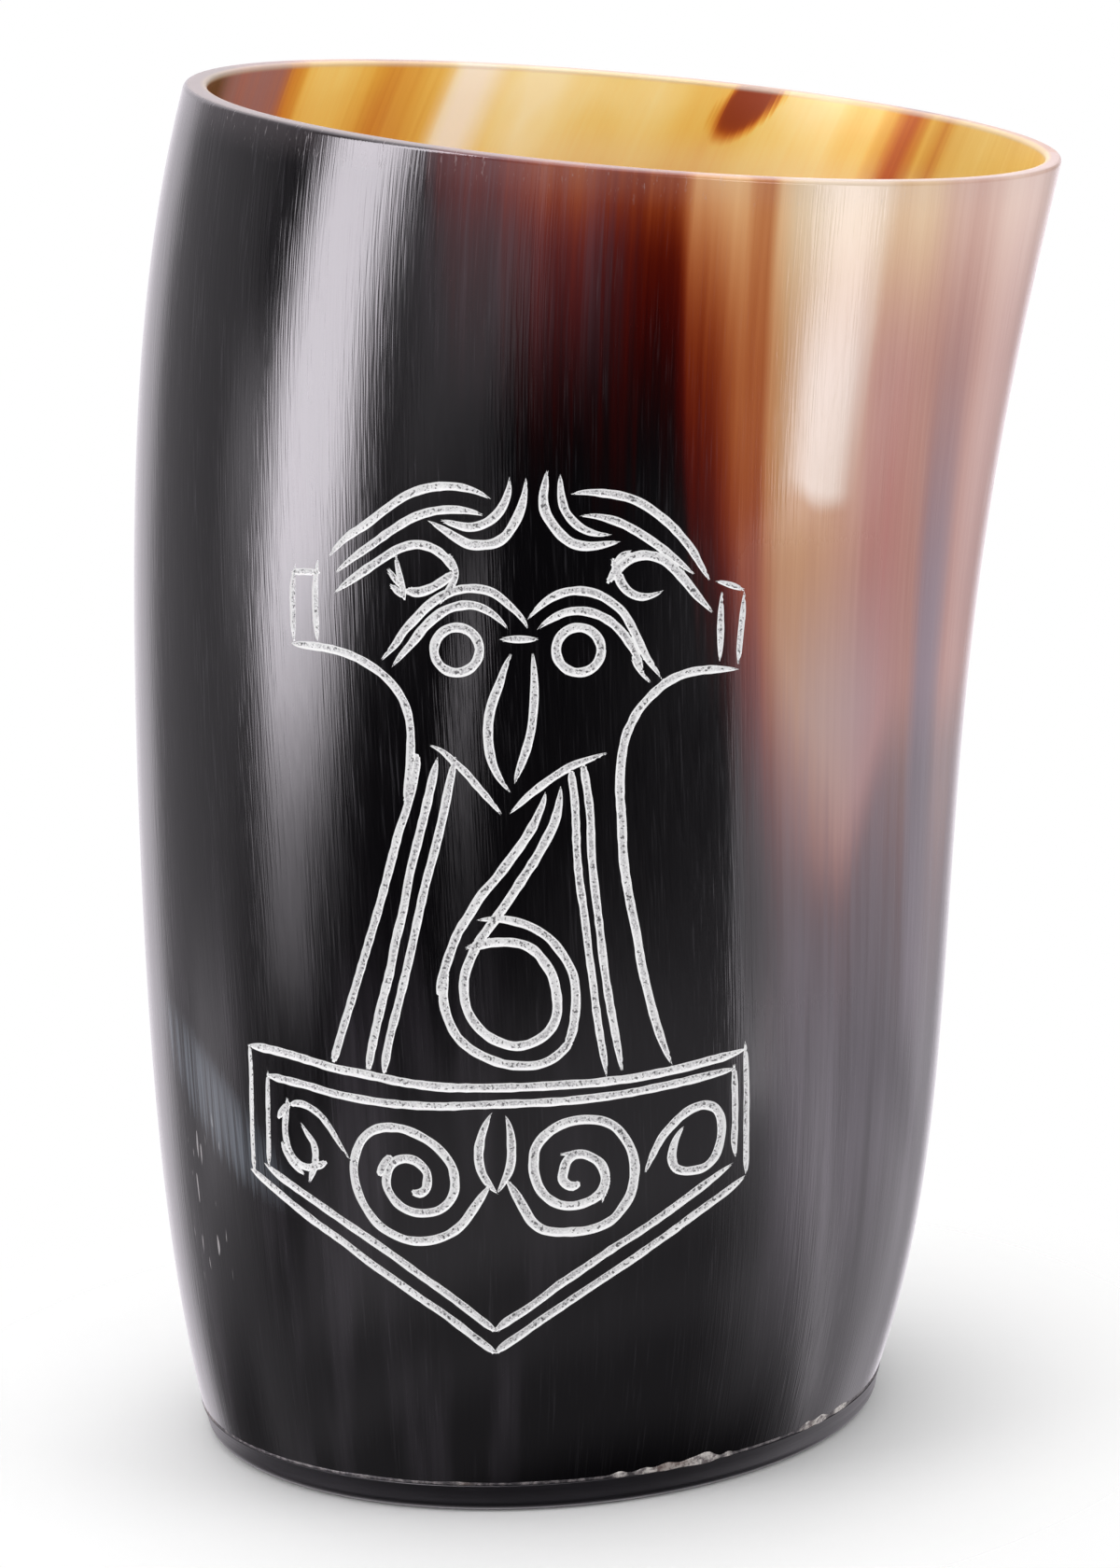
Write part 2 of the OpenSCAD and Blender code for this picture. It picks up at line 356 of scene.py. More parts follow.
        (283, 1245.5), (295, 1256.5), (315, 1271.5), (335, 1285.5), (368.5, 1309), (395, 1327), (425, 1348),
        (452.5, 1368), (475, 1383.7), (495, 1398.5), (515, 1414), (532, 1427))),
    "hammer_point_right_outer": (0.76, 1.5, 2.5, (
        (530, 1450), (540, 1442.3), (560, 1428.7), (580, 1414.3), (600, 1401), (620, 1387.5), (640, 1374.3),
        (660, 1361), (680, 1347.7), (696.5, 1336), (720, 1319.5), (740, 1304.5), (760, 1290), (780, 1275.3),
        (799, 1259))),
    "hammer_point_right_inner": (0.78, 1.5, 4, (
        (530, 1427), (544, 1415.5), (560, 1405.5), (580, 1391.5), (600, 1376), (610, 1369.5), (630, 1356),
        (660, 1335.5), (680, 1323), (696.5, 1312), (720, 1295.3), (740, 1280.5), (760, 1265.5),
        (786, 1245.5))),
    "spiral_left": (0.86, 3, 1, (
        (525, 1270), (515, 1284), (505.5, 1298), (495, 1312), (484.5, 1320.5), (470, 1327), (452.5, 1330),
        (436, 1328.5), (421, 1322.5), (407, 1313.5), (395.5, 1300), (386, 1283), (380.5, 1265.5),
        (379, 1249), (382.5, 1232), (388, 1221), (397, 1212.7), (408, 1208.5), (419, 1208), (431, 1209.5),
        (442, 1213.5), (454, 1219.5), (467, 1228.5), (477, 1239), (484.5, 1251), (487, 1262.5),
        (486.5, 1277), (481, 1288), (470.5, 1296.5), (456.5, 1299.7), (442, 1298.5), (427.5, 1291),
        (419, 1281), (414, 1269), (414.5, 1259), (418, 1249.5), (425, 1243.5), (433.5, 1241.5),
        (444, 1243.5), (452, 1249.5), (457.5, 1257.5), (457.8, 1266), (455.5, 1275), (447.5, 1279),
        (441.5, 1275.5))),
    "spiral_left_burr": (0.85, 0.8, 0.8, ((419.5, 1239), (412, 1247), (406.5, 1260))),
    "spiral_right": (0.9, 2, 1, (
        (543, 1265), (550, 1275.5), (556, 1285.5), (562.5, 1297), (570, 1309), (580, 1316.7), (594, 1320),
        (609.5, 1320), (630, 1318), (643.5, 1313.8), (657, 1306), (667, 1294), (675, 1281), (679, 1265.5),
        (680, 1249), (676.3, 1232), (668.5, 1218), (659, 1207.5), (647, 1201.5), (632.5, 1199.5),
        (617, 1200.5), (601.5, 1205), (589, 1212.5), (579, 1222), (573, 1233), (572, 1243), (571.8, 1253),
        (573.6, 1262), (579, 1275), (588.5, 1285), (600, 1290.8), (613.5, 1292), (626.5, 1289),
        (637.5, 1283.5), (645, 1276), (648.5, 1267.5), (648, 1257), (643.5, 1247), (634, 1240),
        (624, 1236.5), (614, 1238), (607, 1245), (604, 1254.5), (603, 1264), (608, 1269.5), (615, 1271),
        (620, 1266))),
    "spiral_right_burr": (0.6, 1.5, 1, ((600, 1236.5), (608, 1236.5), (617, 1234))),
    "spiral_right_cut": (0.6, 1, 2, ((652, 1258), (649, 1272), (645, 1289))),
    "leaf_left": (0.88, 4, 3, (
        (527.5, 1192), (519.5, 1207), (514.5, 1223), (513, 1242), (516, 1256), (523, 1268), (533, 1279))),
    "leaf_right": (0.88, 4, 4, (
        (541.7, 1195), (546, 1209), (548, 1231), (547.8, 1243), (545.5, 1254), (540, 1266), (532.5, 1279))),
    "curl_left_arc": (0.7, 5, 1, (
        (375.5, 1243.5), (364, 1226), (353, 1208), (343, 1195), (333, 1187.3), (322, 1182.5), (311, 1183))),
    "curl_left_burr": (0.7, 0.8, 1, ((298, 1198), (303, 1189.5), (311, 1182))),
    "curl_left_side": (0.74, 2, 1, (
        (308, 1176), (306.5, 1193), (305.3, 1207), (306.5, 1220), (310, 1232), (315.5, 1242), (323, 1248.5),
        (332, 1251), (341, 1249), (350, 1245))),
    "curl_left_foot": (0.62, 1, 1, ((302, 1223), (307, 1236), (315, 1248), (326, 1258))),
    "curl_left_tongue": (0.74, 3, 2, (
        (322, 1202.5), (329, 1214.5), (336, 1225.5), (338, 1237), (337, 1248), (334, 1258), (331.5, 1267))),
    "curl_right": (0.84, 5, 3, (
        (690, 1259), (696, 1245), (703, 1230), (710, 1217.5), (719.5, 1206.5), (730, 1196), (742.5, 1187.5),
        (757.5, 1184), (766, 1187), (771.5, 1195), (773.3, 1205), (773, 1215), (771, 1226), (765, 1241),
        (754, 1251), (742.5, 1254), (732, 1254.5), (723.5, 1251), (720, 1242), (721, 1231), (724, 1221),
        (728, 1213.5), (733, 1206.5))),
}
# A cut's depth as a share of its width, the step along it, and where the rows of points lie across it in
# half widths, with a guard row beyond each edge and the net kept clear of it, in millimetres
CUT_SHARE_OF_WIDTH = 0.3
CUT_STEP = 0.24
CUT_ROWS = (-1.0, -0.68, -0.34, 0.0, 0.34, 0.68, 1.0)
CUT_GUARD = 0.1
CUT_CLEARANCE = 0.42
# How much the cut's width wavers, the millimetres from one waver to the next, and the least half width
CUT_WAVER = 0.08
WAVER_STEP = 0.7
LEAST_HALF = 0.02
# Points of the rows closer than this, in millimetres, are one
SPACING = 0.07
# The skin opened out flat: millimetres for a radian of turn and for the whole way up, and the seam's turn
FLAT_TURN = 37.0
FLAT_UP = 121.2
BACK_TURN = np.pi / 2
# The step between the photograph's pixels along a carved line's middle
PIXEL_STEP = 1.5


def dense_line(points):
    """A carved line's middle in close photograph pixels: between each two of its points, the cubic whose
    slopes at them are those of the parabola through each point and its two neighbours."""
    points = np.array(points, float)
    knots = np.concatenate([[0], np.cumsum(np.hypot(*np.diff(points, axis=0).T))])
    slopes = np.gradient(points, knots, axis=0, edge_order=2)
    at = np.linspace(0, knots[-1], int(knots[-1] / PIXEL_STEP) + 2)
    i = np.clip(np.searchsorted(knots, at, "right") - 1, 0, len(points) - 2)
    length = (knots[i + 1] - knots[i])[:, None]
    t = (at - knots[i])[:, None] / length
    return (
        (1 + 2 * t) * (1 - t) ** 2 * points[i] + t * (1 - t) ** 2 * length * slopes[i]
        + t * t * (3 - 2 * t) * points[i + 1] + t * t * (t - 1) * length * slopes[i + 1]
    )


def on_the_skin(pixels):
    """The turn and the height share on the near side of the horn that the photograph shows at each pixel, by
    Newton's steps on the pixel at which the skin's point is seen."""
    up = (FOOT_ROW - pixels[:, 1]) / RIM_RISE
    middle = mix(*OUTLINE_MIDDLES, up)
    half = mix(*OUTLINE_HALVES, up)
    turn = 1.5 * np.pi + np.arcsin(np.clip((pixels[:, 0] - middle) / half, -0.97, 0.97))
    for _ in range(12):
        miss = photo_pixel(horn_point(turn, up, 0.0)) - pixels
        by_turn = (photo_pixel(horn_point(turn + NUDGE, up, 0.0)) - pixels - miss) / NUDGE
        by_up = (photo_pixel(horn_point(turn, up + NUDGE, 0.0)) - pixels - miss) / NUDGE
        det = by_turn[:, 0] * by_up[:, 1] - by_turn[:, 1] * by_up[:, 0]
        turn = turn - np.clip((miss[:, 0] * by_up[:, 1] - miss[:, 1] * by_up[:, 0]) / det, -0.2, 0.2)
        up = up - np.clip((by_turn[:, 0] * miss[:, 1] - by_turn[:, 1] * miss[:, 0]) / det, -0.1, 0.1)
    return turn, up


def end_share(run):
    """How full a line is at a share of the way in from its end: the circle's quarter, a little sharpened."""
    run = np.clip(run, 0, 1)
    return (run * (2 - run)) ** 0.75


def carve():
    """The middles of all the round cuts that make the carving, as turns, heights, half widths and sideways
    directions on the skin. A direction is found from its products with the skin's two slopes, which are two
    equations for two unknowns. The width wavers a little, and comes to a point at the ends."""
    rng = np.random.default_rng(7)
    turns, ups, halves, side_turns, side_ups = [], [], [], [], []
    for width, start, end, points in CARVED_LINES.values():
        turn, up = on_the_skin(dense_line(points))
        place = horn_point(turn, up, 0.0)
        run = np.concatenate([[0], np.cumsum(np.linalg.norm(np.diff(place, axis=0), axis=1))])
        at = np.linspace(0, run[-1], max(int(run[-1] / CUT_STEP), 4) + 1)
        turn = np.interp(at, run, turn)
        up = np.interp(at, run, up)
        place, by_turn, by_up, normal = skin_frame(turn, up)
        ahead = np.gradient(place, axis=0)
        side = np.cross(normal, ahead)
        side /= np.linalg.norm(side, axis=1, keepdims=True)
        tt = np.sum(by_turn * by_turn, axis=1)
        uu = np.sum(by_up * by_up, axis=1)
        tu = np.sum(by_turn * by_up, axis=1)
        ts = np.sum(by_turn * side, axis=1)
        us = np.sum(by_up * side, axis=1)
        det = tt * uu - tu * tu
        knots = np.arange(0, run[-1] + 2, WAVER_STEP)
        waver = np.interp(at, knots, rng.uniform(-1, 1, len(knots)))
        half = width / 2 * (1 + CUT_WAVER * waver)
        if start:
            half = half * end_share(at / start)
        if end:
            half = half * end_share((run[-1] - at) / end)
        turns.append(turn)
        ups.append(up)
        halves.append(np.maximum(half, LEAST_HALF))
        side_turns.append((uu * ts - tu * us) / det)
        side_ups.append((tt * us - tu * ts) / det)
    return [np.concatenate(part) for part in (turns, ups, halves, side_turns, side_ups)]


def nearest_cut(places, middles, halves, chunk=1500):
    """For each place: the depth there of the deepest cut, taken as a half circle, in millimetres; how near
    the place is to its cut's bottom, from 0 to 1; and the free distance to the nearest cut's edge. A half
    circle is the root of 1 less the square of the distance over the half width."""
    depths = np.zeros(len(places))
    floors = np.zeros(len(places))
    free = np.zeros(len(places))
    square = np.sum(middles * middles, axis=1)
    for first in range(0, len(places), chunk):
        part = places[first:first + chunk]
        gap = np.sum(part * part, axis=1)[:, None] + square[None] - 2 * part @ middles.T
        gap = np.sqrt(np.maximum(gap, 0))
        cut = np.sqrt(np.maximum(1 - (gap / halves[None]) ** 2, 0))
        floors[first:first + chunk] = np.max(cut, axis=1)
        depths[first:first + chunk] = np.max(cut * halves[None], axis=1)
        free[first:first + chunk] = np.min(gap - halves[None], axis=1)
    return depths, floors, free


def thin_out(points, spacing):
    """One point for each square of the given side that holds any."""
    squares = np.round(points / spacing).astype(np.int64)
    keep = np.unique(squares, axis=0, return_index=True)[1]
    return points[np.sort(keep)]


# Meshes

def merged(points, faces):
    """With each place kept once, to a thousandth of a millimetre: the indices of the points kept, the
    triangles between them, and which of the old triangles are still whole."""
    keys = np.round(points * 1000).astype(np.int64)
    first, back = np.unique(keys, axis=0, return_index=True, return_inverse=True)[1:]
    back = back.reshape(-1)
    faces = back[faces]
    whole = (faces[:, 0] != faces[:, 1]) & (faces[:, 1] != faces[:, 2]) & (faces[:, 2] != faces[:, 0])
    return first, faces[whole], whole


def strip_faces(rows, columns):
    """Triangles of a sheet of rows by columns of points, two to each square, facing out of right by up."""
    a = (np.arange(rows - 1)[:, None] * columns + np.arange(columns - 1)[None]).reshape(-1)
    return np.concatenate([
        np.stack([a, a + 1, a + columns + 1], axis=-1),
        np.stack([a, a + columns + 1, a + columns], axis=-1),
    ])


def new_piece(name, points, faces, finishes, slots=None):
    """A piece in metres from points in millimetres, smooth but for its sharp edges."""
    mesh = bpy.data.meshes.new(name)
    mesh.from_pydata((points * MM).tolist(), [], faces.tolist())
    for finish in finishes:
        mesh.materials.append(finish)
    if slots is not None:
        mesh.polygons.foreach_set("material_index", slots.astype(np.int32))
    mesh.shade_smooth()
    mesh.set_sharp_from_angle(angle=SHARP_ANGLE)
    piece = bpy.data.objects.new(name, mesh)
    scene.collection.objects.link(piece)
    return piece


def add_attribute(piece, name, values):
    """A number or a vector for each point of a piece, for its finish to read."""
    kind = "FLOAT_VECTOR" if values.ndim == 2 else "FLOAT"
    layer = piece.data.attributes.new(name, kind, "POINT")
    layer.data.foreach_set("vector" if values.ndim == 2 else "value", values.astype(np.float32).reshape(-1))


def skin_sheet():
    """The outer skin, opened out flat: an even net of points, cleared round the carved lines, where rows of
    points run along each line instead, joined by Delaunay triangles. Each point then goes in along the
    skin's normal by the cut's depth there."""
    turn_row = once_round(AROUND, BACK_TURN)
    up_row = SKIN_TOP * np.arange(UP_BANDS + 1) / UP_BANDS
    net_turn, net_up = [part.reshape(-1) for part in np.meshgrid(turn_row, up_row)]
    turn, up, half, side_turn, side_up = carve()
    middles = horn_point(turn, up, 0.0)
    free = nearest_cut(horn_point(net_turn, net_up, 0.0), middles, half)[2]
    kept = free > CUT_CLEARANCE
    offsets = [r * half for r in CUT_ROWS] + [half + CUT_GUARD, -half - CUT_GUARD]
    rows = [np.stack([turn + offset * side_turn, up + offset * side_up], axis=-1) for offset in offsets]
    flat = np.array([FLAT_TURN, FLAT_UP])
    line_points = thin_out(np.vstack(rows) * flat, SPACING)
    net_points = np.stack([net_turn, net_up], axis=-1)[kept] * flat
    everything = np.vstack([net_points, line_points])
    found = delaunay_2d_cdt(everything.tolist(), [], [], 0, 1e-5, False)
    sheet = np.array([tuple(point) for point in found[0]]) / flat
    faces = np.array(found[2])
    # The border's points go back to exactly the places where the other sheets meet them
    column = np.round((sheet[:, 0] - BACK_TURN) * AROUND / (2 * np.pi)).astype(int)
    edge = (sheet[:, 1] < 1e-4) | (sheet[:, 1] > SKIN_TOP - 1e-4) | np.isin(column, (0, AROUND))
    border = edge & (np.abs(turn_row[column] - sheet[:, 0]) < 1e-4)
    sheet[border, 0] = turn_row[column[border]]
    row = np.round(sheet[:, 1] * UP_BANDS / SKIN_TOP).astype(int)
    level = border & (np.abs(up_row[np.clip(row, 0, UP_BANDS)] - sheet[:, 1]) < 1e-4)
    sheet[level, 1] = up_row[row[level]]
    place, _, _, normal = skin_frame(sheet[:, 0], sheet[:, 1])
    depth, floor, _ = nearest_cut(place, middles, half)
    cut = floor[faces].max(axis=1) > 0
    centres = place[faces[cut]].mean(axis=1)
    cut[cut] = nearest_cut(centres, middles, half)[2] < 0.01
    place = place - (depth * 2 * CUT_SHARE_OF_WIDTH)[:, None] * normal
    return sheet[:, 0], sheet[:, 1], place, normal, floor, faces, cut


def inner_foot(turn):
    """The height share at which the hollow's side comes down to the top of the plate's seat."""
    up = np.full_like(turn, (SEAT_TOP - SEAM_Z) / HORN_HEIGHT)
    for _ in range(20):
        up = up + (SEAT_TOP - horn_point(turn, up, 1.0)[..., 2]) / HORN_HEIGHT
    return up


def make_horn(finishes):
    """The horn: its carved skin, then one sheet that goes over the rounded rim, down the hollow, out over
    the seat's shoulder, down the seat and back to the skin's foot."""
    turn, up, place, normal, floor, faces, cut = skin_sheet()
    around = once_round(AROUND, BACK_TURN)
    lip = np.pi / 2 * np.arange(LIP_STEPS + 1) / LIP_STEPS
    rows = [(1 - LIP_DROP_SHARE * (1 - np.sin(a)), LIP_SHARE * (1 - np.cos(a))) for a in lip]
    rows += [(1 - LIP_DROP_SHARE * (1 - np.sin(a)), 1 - LIP_SHARE * (1 - np.cos(a))) for a in lip[::-1]]
    foot = inner_foot(around)
    ups = [np.full_like(around, row[0]) for row in rows]
    intos = [row[1] for row in rows]
    for band in range(1, INNER_BANDS + 1):
        ups.append(mix(SKIN_TOP, foot, band / INNER_BANDS))
        intos.append(1.0)
    sheet = [horn_point(around, u, i) for u, i in zip(ups, intos)]
    for radius, z in ((SEAT_RADIUS, SEAT_TOP), (SEAT_RADIUS, SEAM_Z), (BASE_RADIUS, SEAM_Z)):
        sheet.append(round_row(around, radius, z))
        ups.append(0 * around)
        intos.append(1.0 if z == SEAT_TOP else 0.5)
    sheet = np.array(sheet)
    count = len(place)
    points = np.vstack([place, sheet.reshape(-1, 3)])
    all_faces = np.vstack([faces, strip_faces(len(sheet), AROUND + 1) + count])
    all_turn = np.concatenate([turn, np.tile(around, len(sheet))])
    all_up = np.concatenate([up, np.array(ups).reshape(-1)])
    into = np.concatenate([np.zeros(count), np.repeat(intos, AROUND + 1)])
    floor = np.concatenate([floor, np.zeros(len(points) - count)])
    normals = np.vstack([normal, np.zeros((len(points) - count, 3))])
    skin = np.arange(len(all_faces)) < len(faces)
    cut = np.concatenate([cut, np.zeros(len(all_faces) - len(faces), bool)])
    first, new_faces, whole = merged(points, all_faces)
    skin = skin[whole]
    cut = cut[whole]
    piece = new_piece("carved_horn", points[first], new_faces, finishes, cut)
    add_attribute(piece, "round_and_up", np.stack([
        np.cos(all_turn[first]), np.sin(all_turn[first]), all_up[first]], axis=-1))
    add_attribute(piece, "into_wall", into[first])
    add_attribute(piece, "cut_floor", floor[first])
    smooth_skin(piece, normals[first], new_faces, skin & ~cut, cut)
    return piece


def smooth_skin(piece, normals, faces, polished, cut):
    """Sharp edges along the carving, and the skin's own normals on the polished faces."""
    mesh = piece.data
    edges = np.zeros(len(mesh.loops), np.int32)
    mesh.loops.foreach_get("edge_index", edges)
    loop_cut = np.repeat(cut, 3)
    cut_sides = np.bincount(edges[loop_cut], minlength=len(mesh.edges))
    all_sides = np.bincount(edges, minlength=len(mesh.edges))
    sharp = np.zeros(len(mesh.edges), bool)
    mesh.edges.foreach_get("use_edge_sharp", sharp)
    mesh.edges.foreach_set("use_edge_sharp", sharp | ((cut_sides == 1) & (all_sides == 2)))
    loops = np.where(np.repeat(polished, 3)[:, None], normals[faces.reshape(-1)], 0.0)
    mesh.normals_split_custom_set(loops.tolist())


def wrapped(name, rows, finish):
    """A closed piece from rows of points that each go once round the upright axis, and the points kept."""
    sheet = np.array(rows)
    points = sheet.reshape(-1, 3)
    first, faces, _ = merged(points, strip_faces(*sheet.shape[:2]))
    return new_piece(name, points[first], faces, [finish]), first


# The plate's softened edges
PLATE_SOFT = 0.18
PLATE_INSET = 0.02


def make_plate(finish):
    """The base plate, turned about the upright axis from a profile of radii and heights: its underside,
    rounded foot, side that carries on the horn's, ledge, step and top."""
    foot_radius = BASE_RADIUS - PLATE_TAPER
    bends = np.pi / 2 * np.arange(ROUND_STEPS + 1) / ROUND_STEPS
    edge = [(foot_radius - FOOT_ROUND * (1 - np.sin(a)), FOOT_ROUND * (1 - np.cos(a))) for a in bends]
    profile = [(0.0, 0.0), (foot_radius * 0.5, 0.0)] + edge + [
        (mix(foot_radius, BASE_RADIUS, 0.5), mix(FOOT_ROUND, PLATE_THICK, 0.5)),
        (BASE_RADIUS - PLATE_INSET, PLATE_THICK - PLATE_SOFT), (BASE_RADIUS - PLATE_SOFT, PLATE_THICK),
        (STEP_RADIUS, PLATE_THICK), (STEP_RADIUS, FLOOR_Z - PLATE_SOFT), (STEP_RADIUS - PLATE_SOFT, FLOOR_Z),
        (STEP_RADIUS * 0.5, FLOOR_Z), (0.0, FLOOR_Z)]
    turn = once_round(AROUND)
    return wrapped("foot_plate", [round_row(turn, radius, height) for radius, height in profile], finish)[0]


# Glue: where along the seam it has squeezed out, as the turn in degrees, how far it spreads either way in
# degrees, and how far it creeps up the horn
SQUEEZED_GLUE = (
    (281.5, 1.2, 0.35), (285.5, 1.6, 0.30), (289.5, 1.8, 0.42), (294.5, 2.2, 0.62), (297.0, 1.4, 0.55),
    (300.5, 0.9, 0.30), (318.0, 1.6, 0.40), (321.5, 1.8, 0.45), (328.0, 2.5, 0.30), (255.0, 2.5, 0.12),
    (240.0, 3.0, 0.10), (20.0, 3.0, 0.30), (64.0, 2.5, 0.25), (118.0, 4.0, 0.30), (171.0, 3.0, 0.22))
# How many rough spots lie round the seam, how far glue creeps up anywhere, and how much more if rough
ROUGH_SPOTS = 180
LEAST_CREEP = 0.05
ROUGH_CREEP = 0.05
# How far the ridge laps down over the plate, and more for each millimetre of creep
LEAST_LAP = 0.04
LAP_SHARE = 0.25
# How far the ridge stands out, more with the creep up to a limit, and how far its edges sink into the horn
RIDGE_STAND = 0.03
STAND_SHARE = 0.10
STAND_LIMIT = 0.5
RIDGE_SINK = 0.015
# How far in from the outline the ridge ends, how far the floor's film reaches in from the step's edge, the
# bead's play against the horn, and how much it ripples
RIDGE_INSET = 0.3
FILM_REACH = 3
BEAD_PLAY = 0.02
BEAD_RIPPLE = 0.18


def make_glue(finish):
    """The glue: a ring that fills the gap between plate and horn and stands out a hair's breadth as a
    rounded ridge, which creeps up the horn by a bell curve round each squeezed-out spot, and a film and a
    fillet that go round the inner floor."""
    turn = once_round(AROUND * 3)
    rng = np.random.default_rng(11)
    spots = np.append(rng.uniform(0, 1, ROUGH_SPOTS), 0.5)
    rough = np.interp(turn, once_round(ROUGH_SPOTS), spots)
    rough[-1] = rough[0]
    creep = LEAST_CREEP + ROUGH_CREEP * rough
    for degrees, spread, rise in SQUEEZED_GLUE:
        gap = (np.degrees(turn) - degrees + 180) % 360 - 180
        creep = creep + rise * np.exp(-(gap / spread) ** 2) * (0.7 + 0.5 * rough)
    low = PLATE_THICK - LEAST_LAP - LAP_SHARE * creep
    high = SEAM_Z + creep
    stand_out = RIDGE_STAND + STAND_SHARE * np.minimum(creep, STAND_LIMIT)
    rows = []
    for share in np.arange(ROUND_STEPS + 1) / ROUND_STEPS:
        z = mix(low, high, share)
        stand = stand_out * np.sqrt(4 * share * (1 - share)) - RIDGE_SINK
        up = np.maximum(z - SEAM_Z, 0) / HORN_HEIGHT
        outward = round_row(turn, stand, 0.0)
        rows.append(np.column_stack([(horn_point(turn, up, 0.0) + outward)[:, :2], z]))
    for radius, z in (
            (BASE_RADIUS - RIDGE_INSET, SEAM_Z), (SEAT_RADIUS, SEAM_Z), (SEAT_RADIUS, SEAT_TOP)):
        rows.append(round_row(turn, radius, z))
    coarse = once_round(360)
    foot = np.interp(turn, coarse, inner_foot(coarse))
    reach = np.hypot(*horn_point(turn, foot + BEAD_HEIGHT / HORN_HEIGHT, 1.0).T[:2])
    ripple = 1 + BEAD_RIPPLE * (rough - 0.5)
    for share in np.arange(ROUND_STEPS + 1) / ROUND_STEPS:
        bend = np.pi / 2 * share
        radius = reach + BEAD_PLAY - BEAD_WIDTH * ripple * (1 - np.cos(bend))
        z = FLOOR_Z + BEAD_HEIGHT * ripple * (1 - np.sin(bend)) + BEAD_PLAY
        rows.append(round_row(turn, radius, z))
    for radius, z in (
            (STEP_RADIUS - FILM_REACH, FLOOR_Z), (STEP_RADIUS, FLOOR_Z), (STEP_RADIUS, PLATE_THICK),
            (BASE_RADIUS - RIDGE_INSET, np.maximum(low, PLATE_THICK))):
        rows.append(round_row(turn, radius, z))
    rows.append(rows[0])
    piece, first = wrapped("seam_glue", rows, finish)
    add_attribute(piece, "creep", np.tile(creep, len(rows))[first])
    return piece


# Finishes

class Value:
    """One socket of a finish's nodes, on which sums can be written."""

    def __init__(self, finish, socket):
        self.finish = finish
        self.socket = socket

    def __add__(self, other):
        return self.finish.math("ADD", self, other)

    def __radd__(self, other):
        return self.finish.math("ADD", other, self)

    def __sub__(self, other):
        return self.finish.math("SUBTRACT", self, other)

    def __rsub__(self, other):
        return self.finish.math("SUBTRACT", other, self)

    def __mul__(self, other):
        return self.finish.math("MULTIPLY", self, other)

    def __rmul__(self, other):
        return self.finish.math("MULTIPLY", other, self)

    def __truediv__(self, other):
        return self.finish.math("DIVIDE", self, other)

    def __pow__(self, other):
        return self.finish.math("POWER", self, other)


class Finish:
    """A finish, or the studio's world: a thing whose shader and patterns are nodes."""

    def __init__(self, owner):
        self.owner = owner
        owner.use_nodes = True
        self.tree = owner.node_tree
        self.tree.nodes.clear()

    def node(self, kind, settings=None, inputs=None, output=0):
        """A node of the kind, with its settings, and values or links for its sockets."""
        node = self.tree.nodes.new(kind)
        for key, value in (settings or {}).items():
            if key == "stops":
                ramp = node.color_ramp
                while len(ramp.elements) < len(value):
                    ramp.elements.new(1.0)
                for element, (position, tone) in zip(ramp.elements, value):
                    element.position = position
                    element.color = tone
            else:
                setattr(node, key, value)
        for key, value in (inputs or {}).items():
            if isinstance(value, Value):
                self.tree.links.new(value.socket, node.inputs[key])
            else:
                node.inputs[key].default_value = value
        return Value(self, node.outputs[output])

    def math(self, operation, *numbers):
        """One of Blender's sums on one, two or three numbers."""
        return self.node("ShaderNodeMath", {"operation": operation}, dict(enumerate(numbers)))

    def split(self, vector):
        """The three parts of a vector."""
        node = self.tree.nodes.new("ShaderNodeSeparateXYZ")
        self.tree.links.new(vector.socket, node.inputs[0])
        return [Value(self, socket) for socket in node.outputs]

    def join(self, x, y, z):
        """A vector of three parts."""
        return self.node("ShaderNodeCombineXYZ", None, {0: x, 1: y, 2: z})

    def attribute(self, name, output=2):
        """A piece's own attribute: its number, or with output 1 its vector."""
        return self.node("ShaderNodeAttribute", {"attribute_name": name}, None, output)

    def place(self):
        """The place on the piece, in metres."""
        return self.node("ShaderNodeTexCoord", None, None, "Object")

    def ray(self, kind):
        """1 for a ray of light of the kind, and 0 for any other."""
        return self.node("ShaderNodeLightPath", None, None, "Is " + kind + " Ray")

    def noise(self, vector, scale, detail=2.0, rough=0.5):
        """Soft noise from 0 to 1."""
        return self.node("ShaderNodeTexNoise", None, {
            "Vector": vector, "Scale": scale, "Detail": detail, "Roughness": rough})

    def smooth(self, value, low, high):
        """Smooth step from 0 at the low value to 1 at the high one."""
        return self.node("ShaderNodeMapRange", {"interpolation_type": "SMOOTHSTEP"}, {
            "Value": value, "From Min": low, "From Max": high})

    def blend(self, factor, first, second):
        """Two colours blended by a factor."""
        return self.node("ShaderNodeMix", {"data_type": "RGBA"}, {0: factor, 6: first, 7: second}, 2)

    def bump(self, height, strength, distance, under=None):
        """The way that the surface faces where a height raises it, over another bump if there is one."""
        inputs = {"Strength": strength, "Distance": distance, "Height": height}
        if under is not None:
            inputs["Normal"] = under
        return self.node("ShaderNodeBump", None, inputs)

    def show(self, kind, inputs):
        """The shader of a kind, joined to the output, and what it is the finish of."""
        shader = self.node(kind, None, inputs)
        output = "ShaderNodeOutputWorld" if kind == "ShaderNodeBackground" else "ShaderNodeOutputMaterial"
        self.tree.links.new(shader.socket, self.tree.nodes.new(output).inputs[0])
        return self.owner

    def surface(self, body, rough, bump, refraction, more=None):
        """A surface's colour, roughness, bump and index of refraction, and what else it has."""
        inputs = {"Base Color": body, "Roughness": rough, "Normal": bump, "IOR": refraction}
        inputs.update(more or {})
        return self.show("ShaderNodeBsdfPrincipled", inputs)


def finish_named(name):
    """An empty finish for a material."""
    return Finish(bpy.data.materials.new(name))


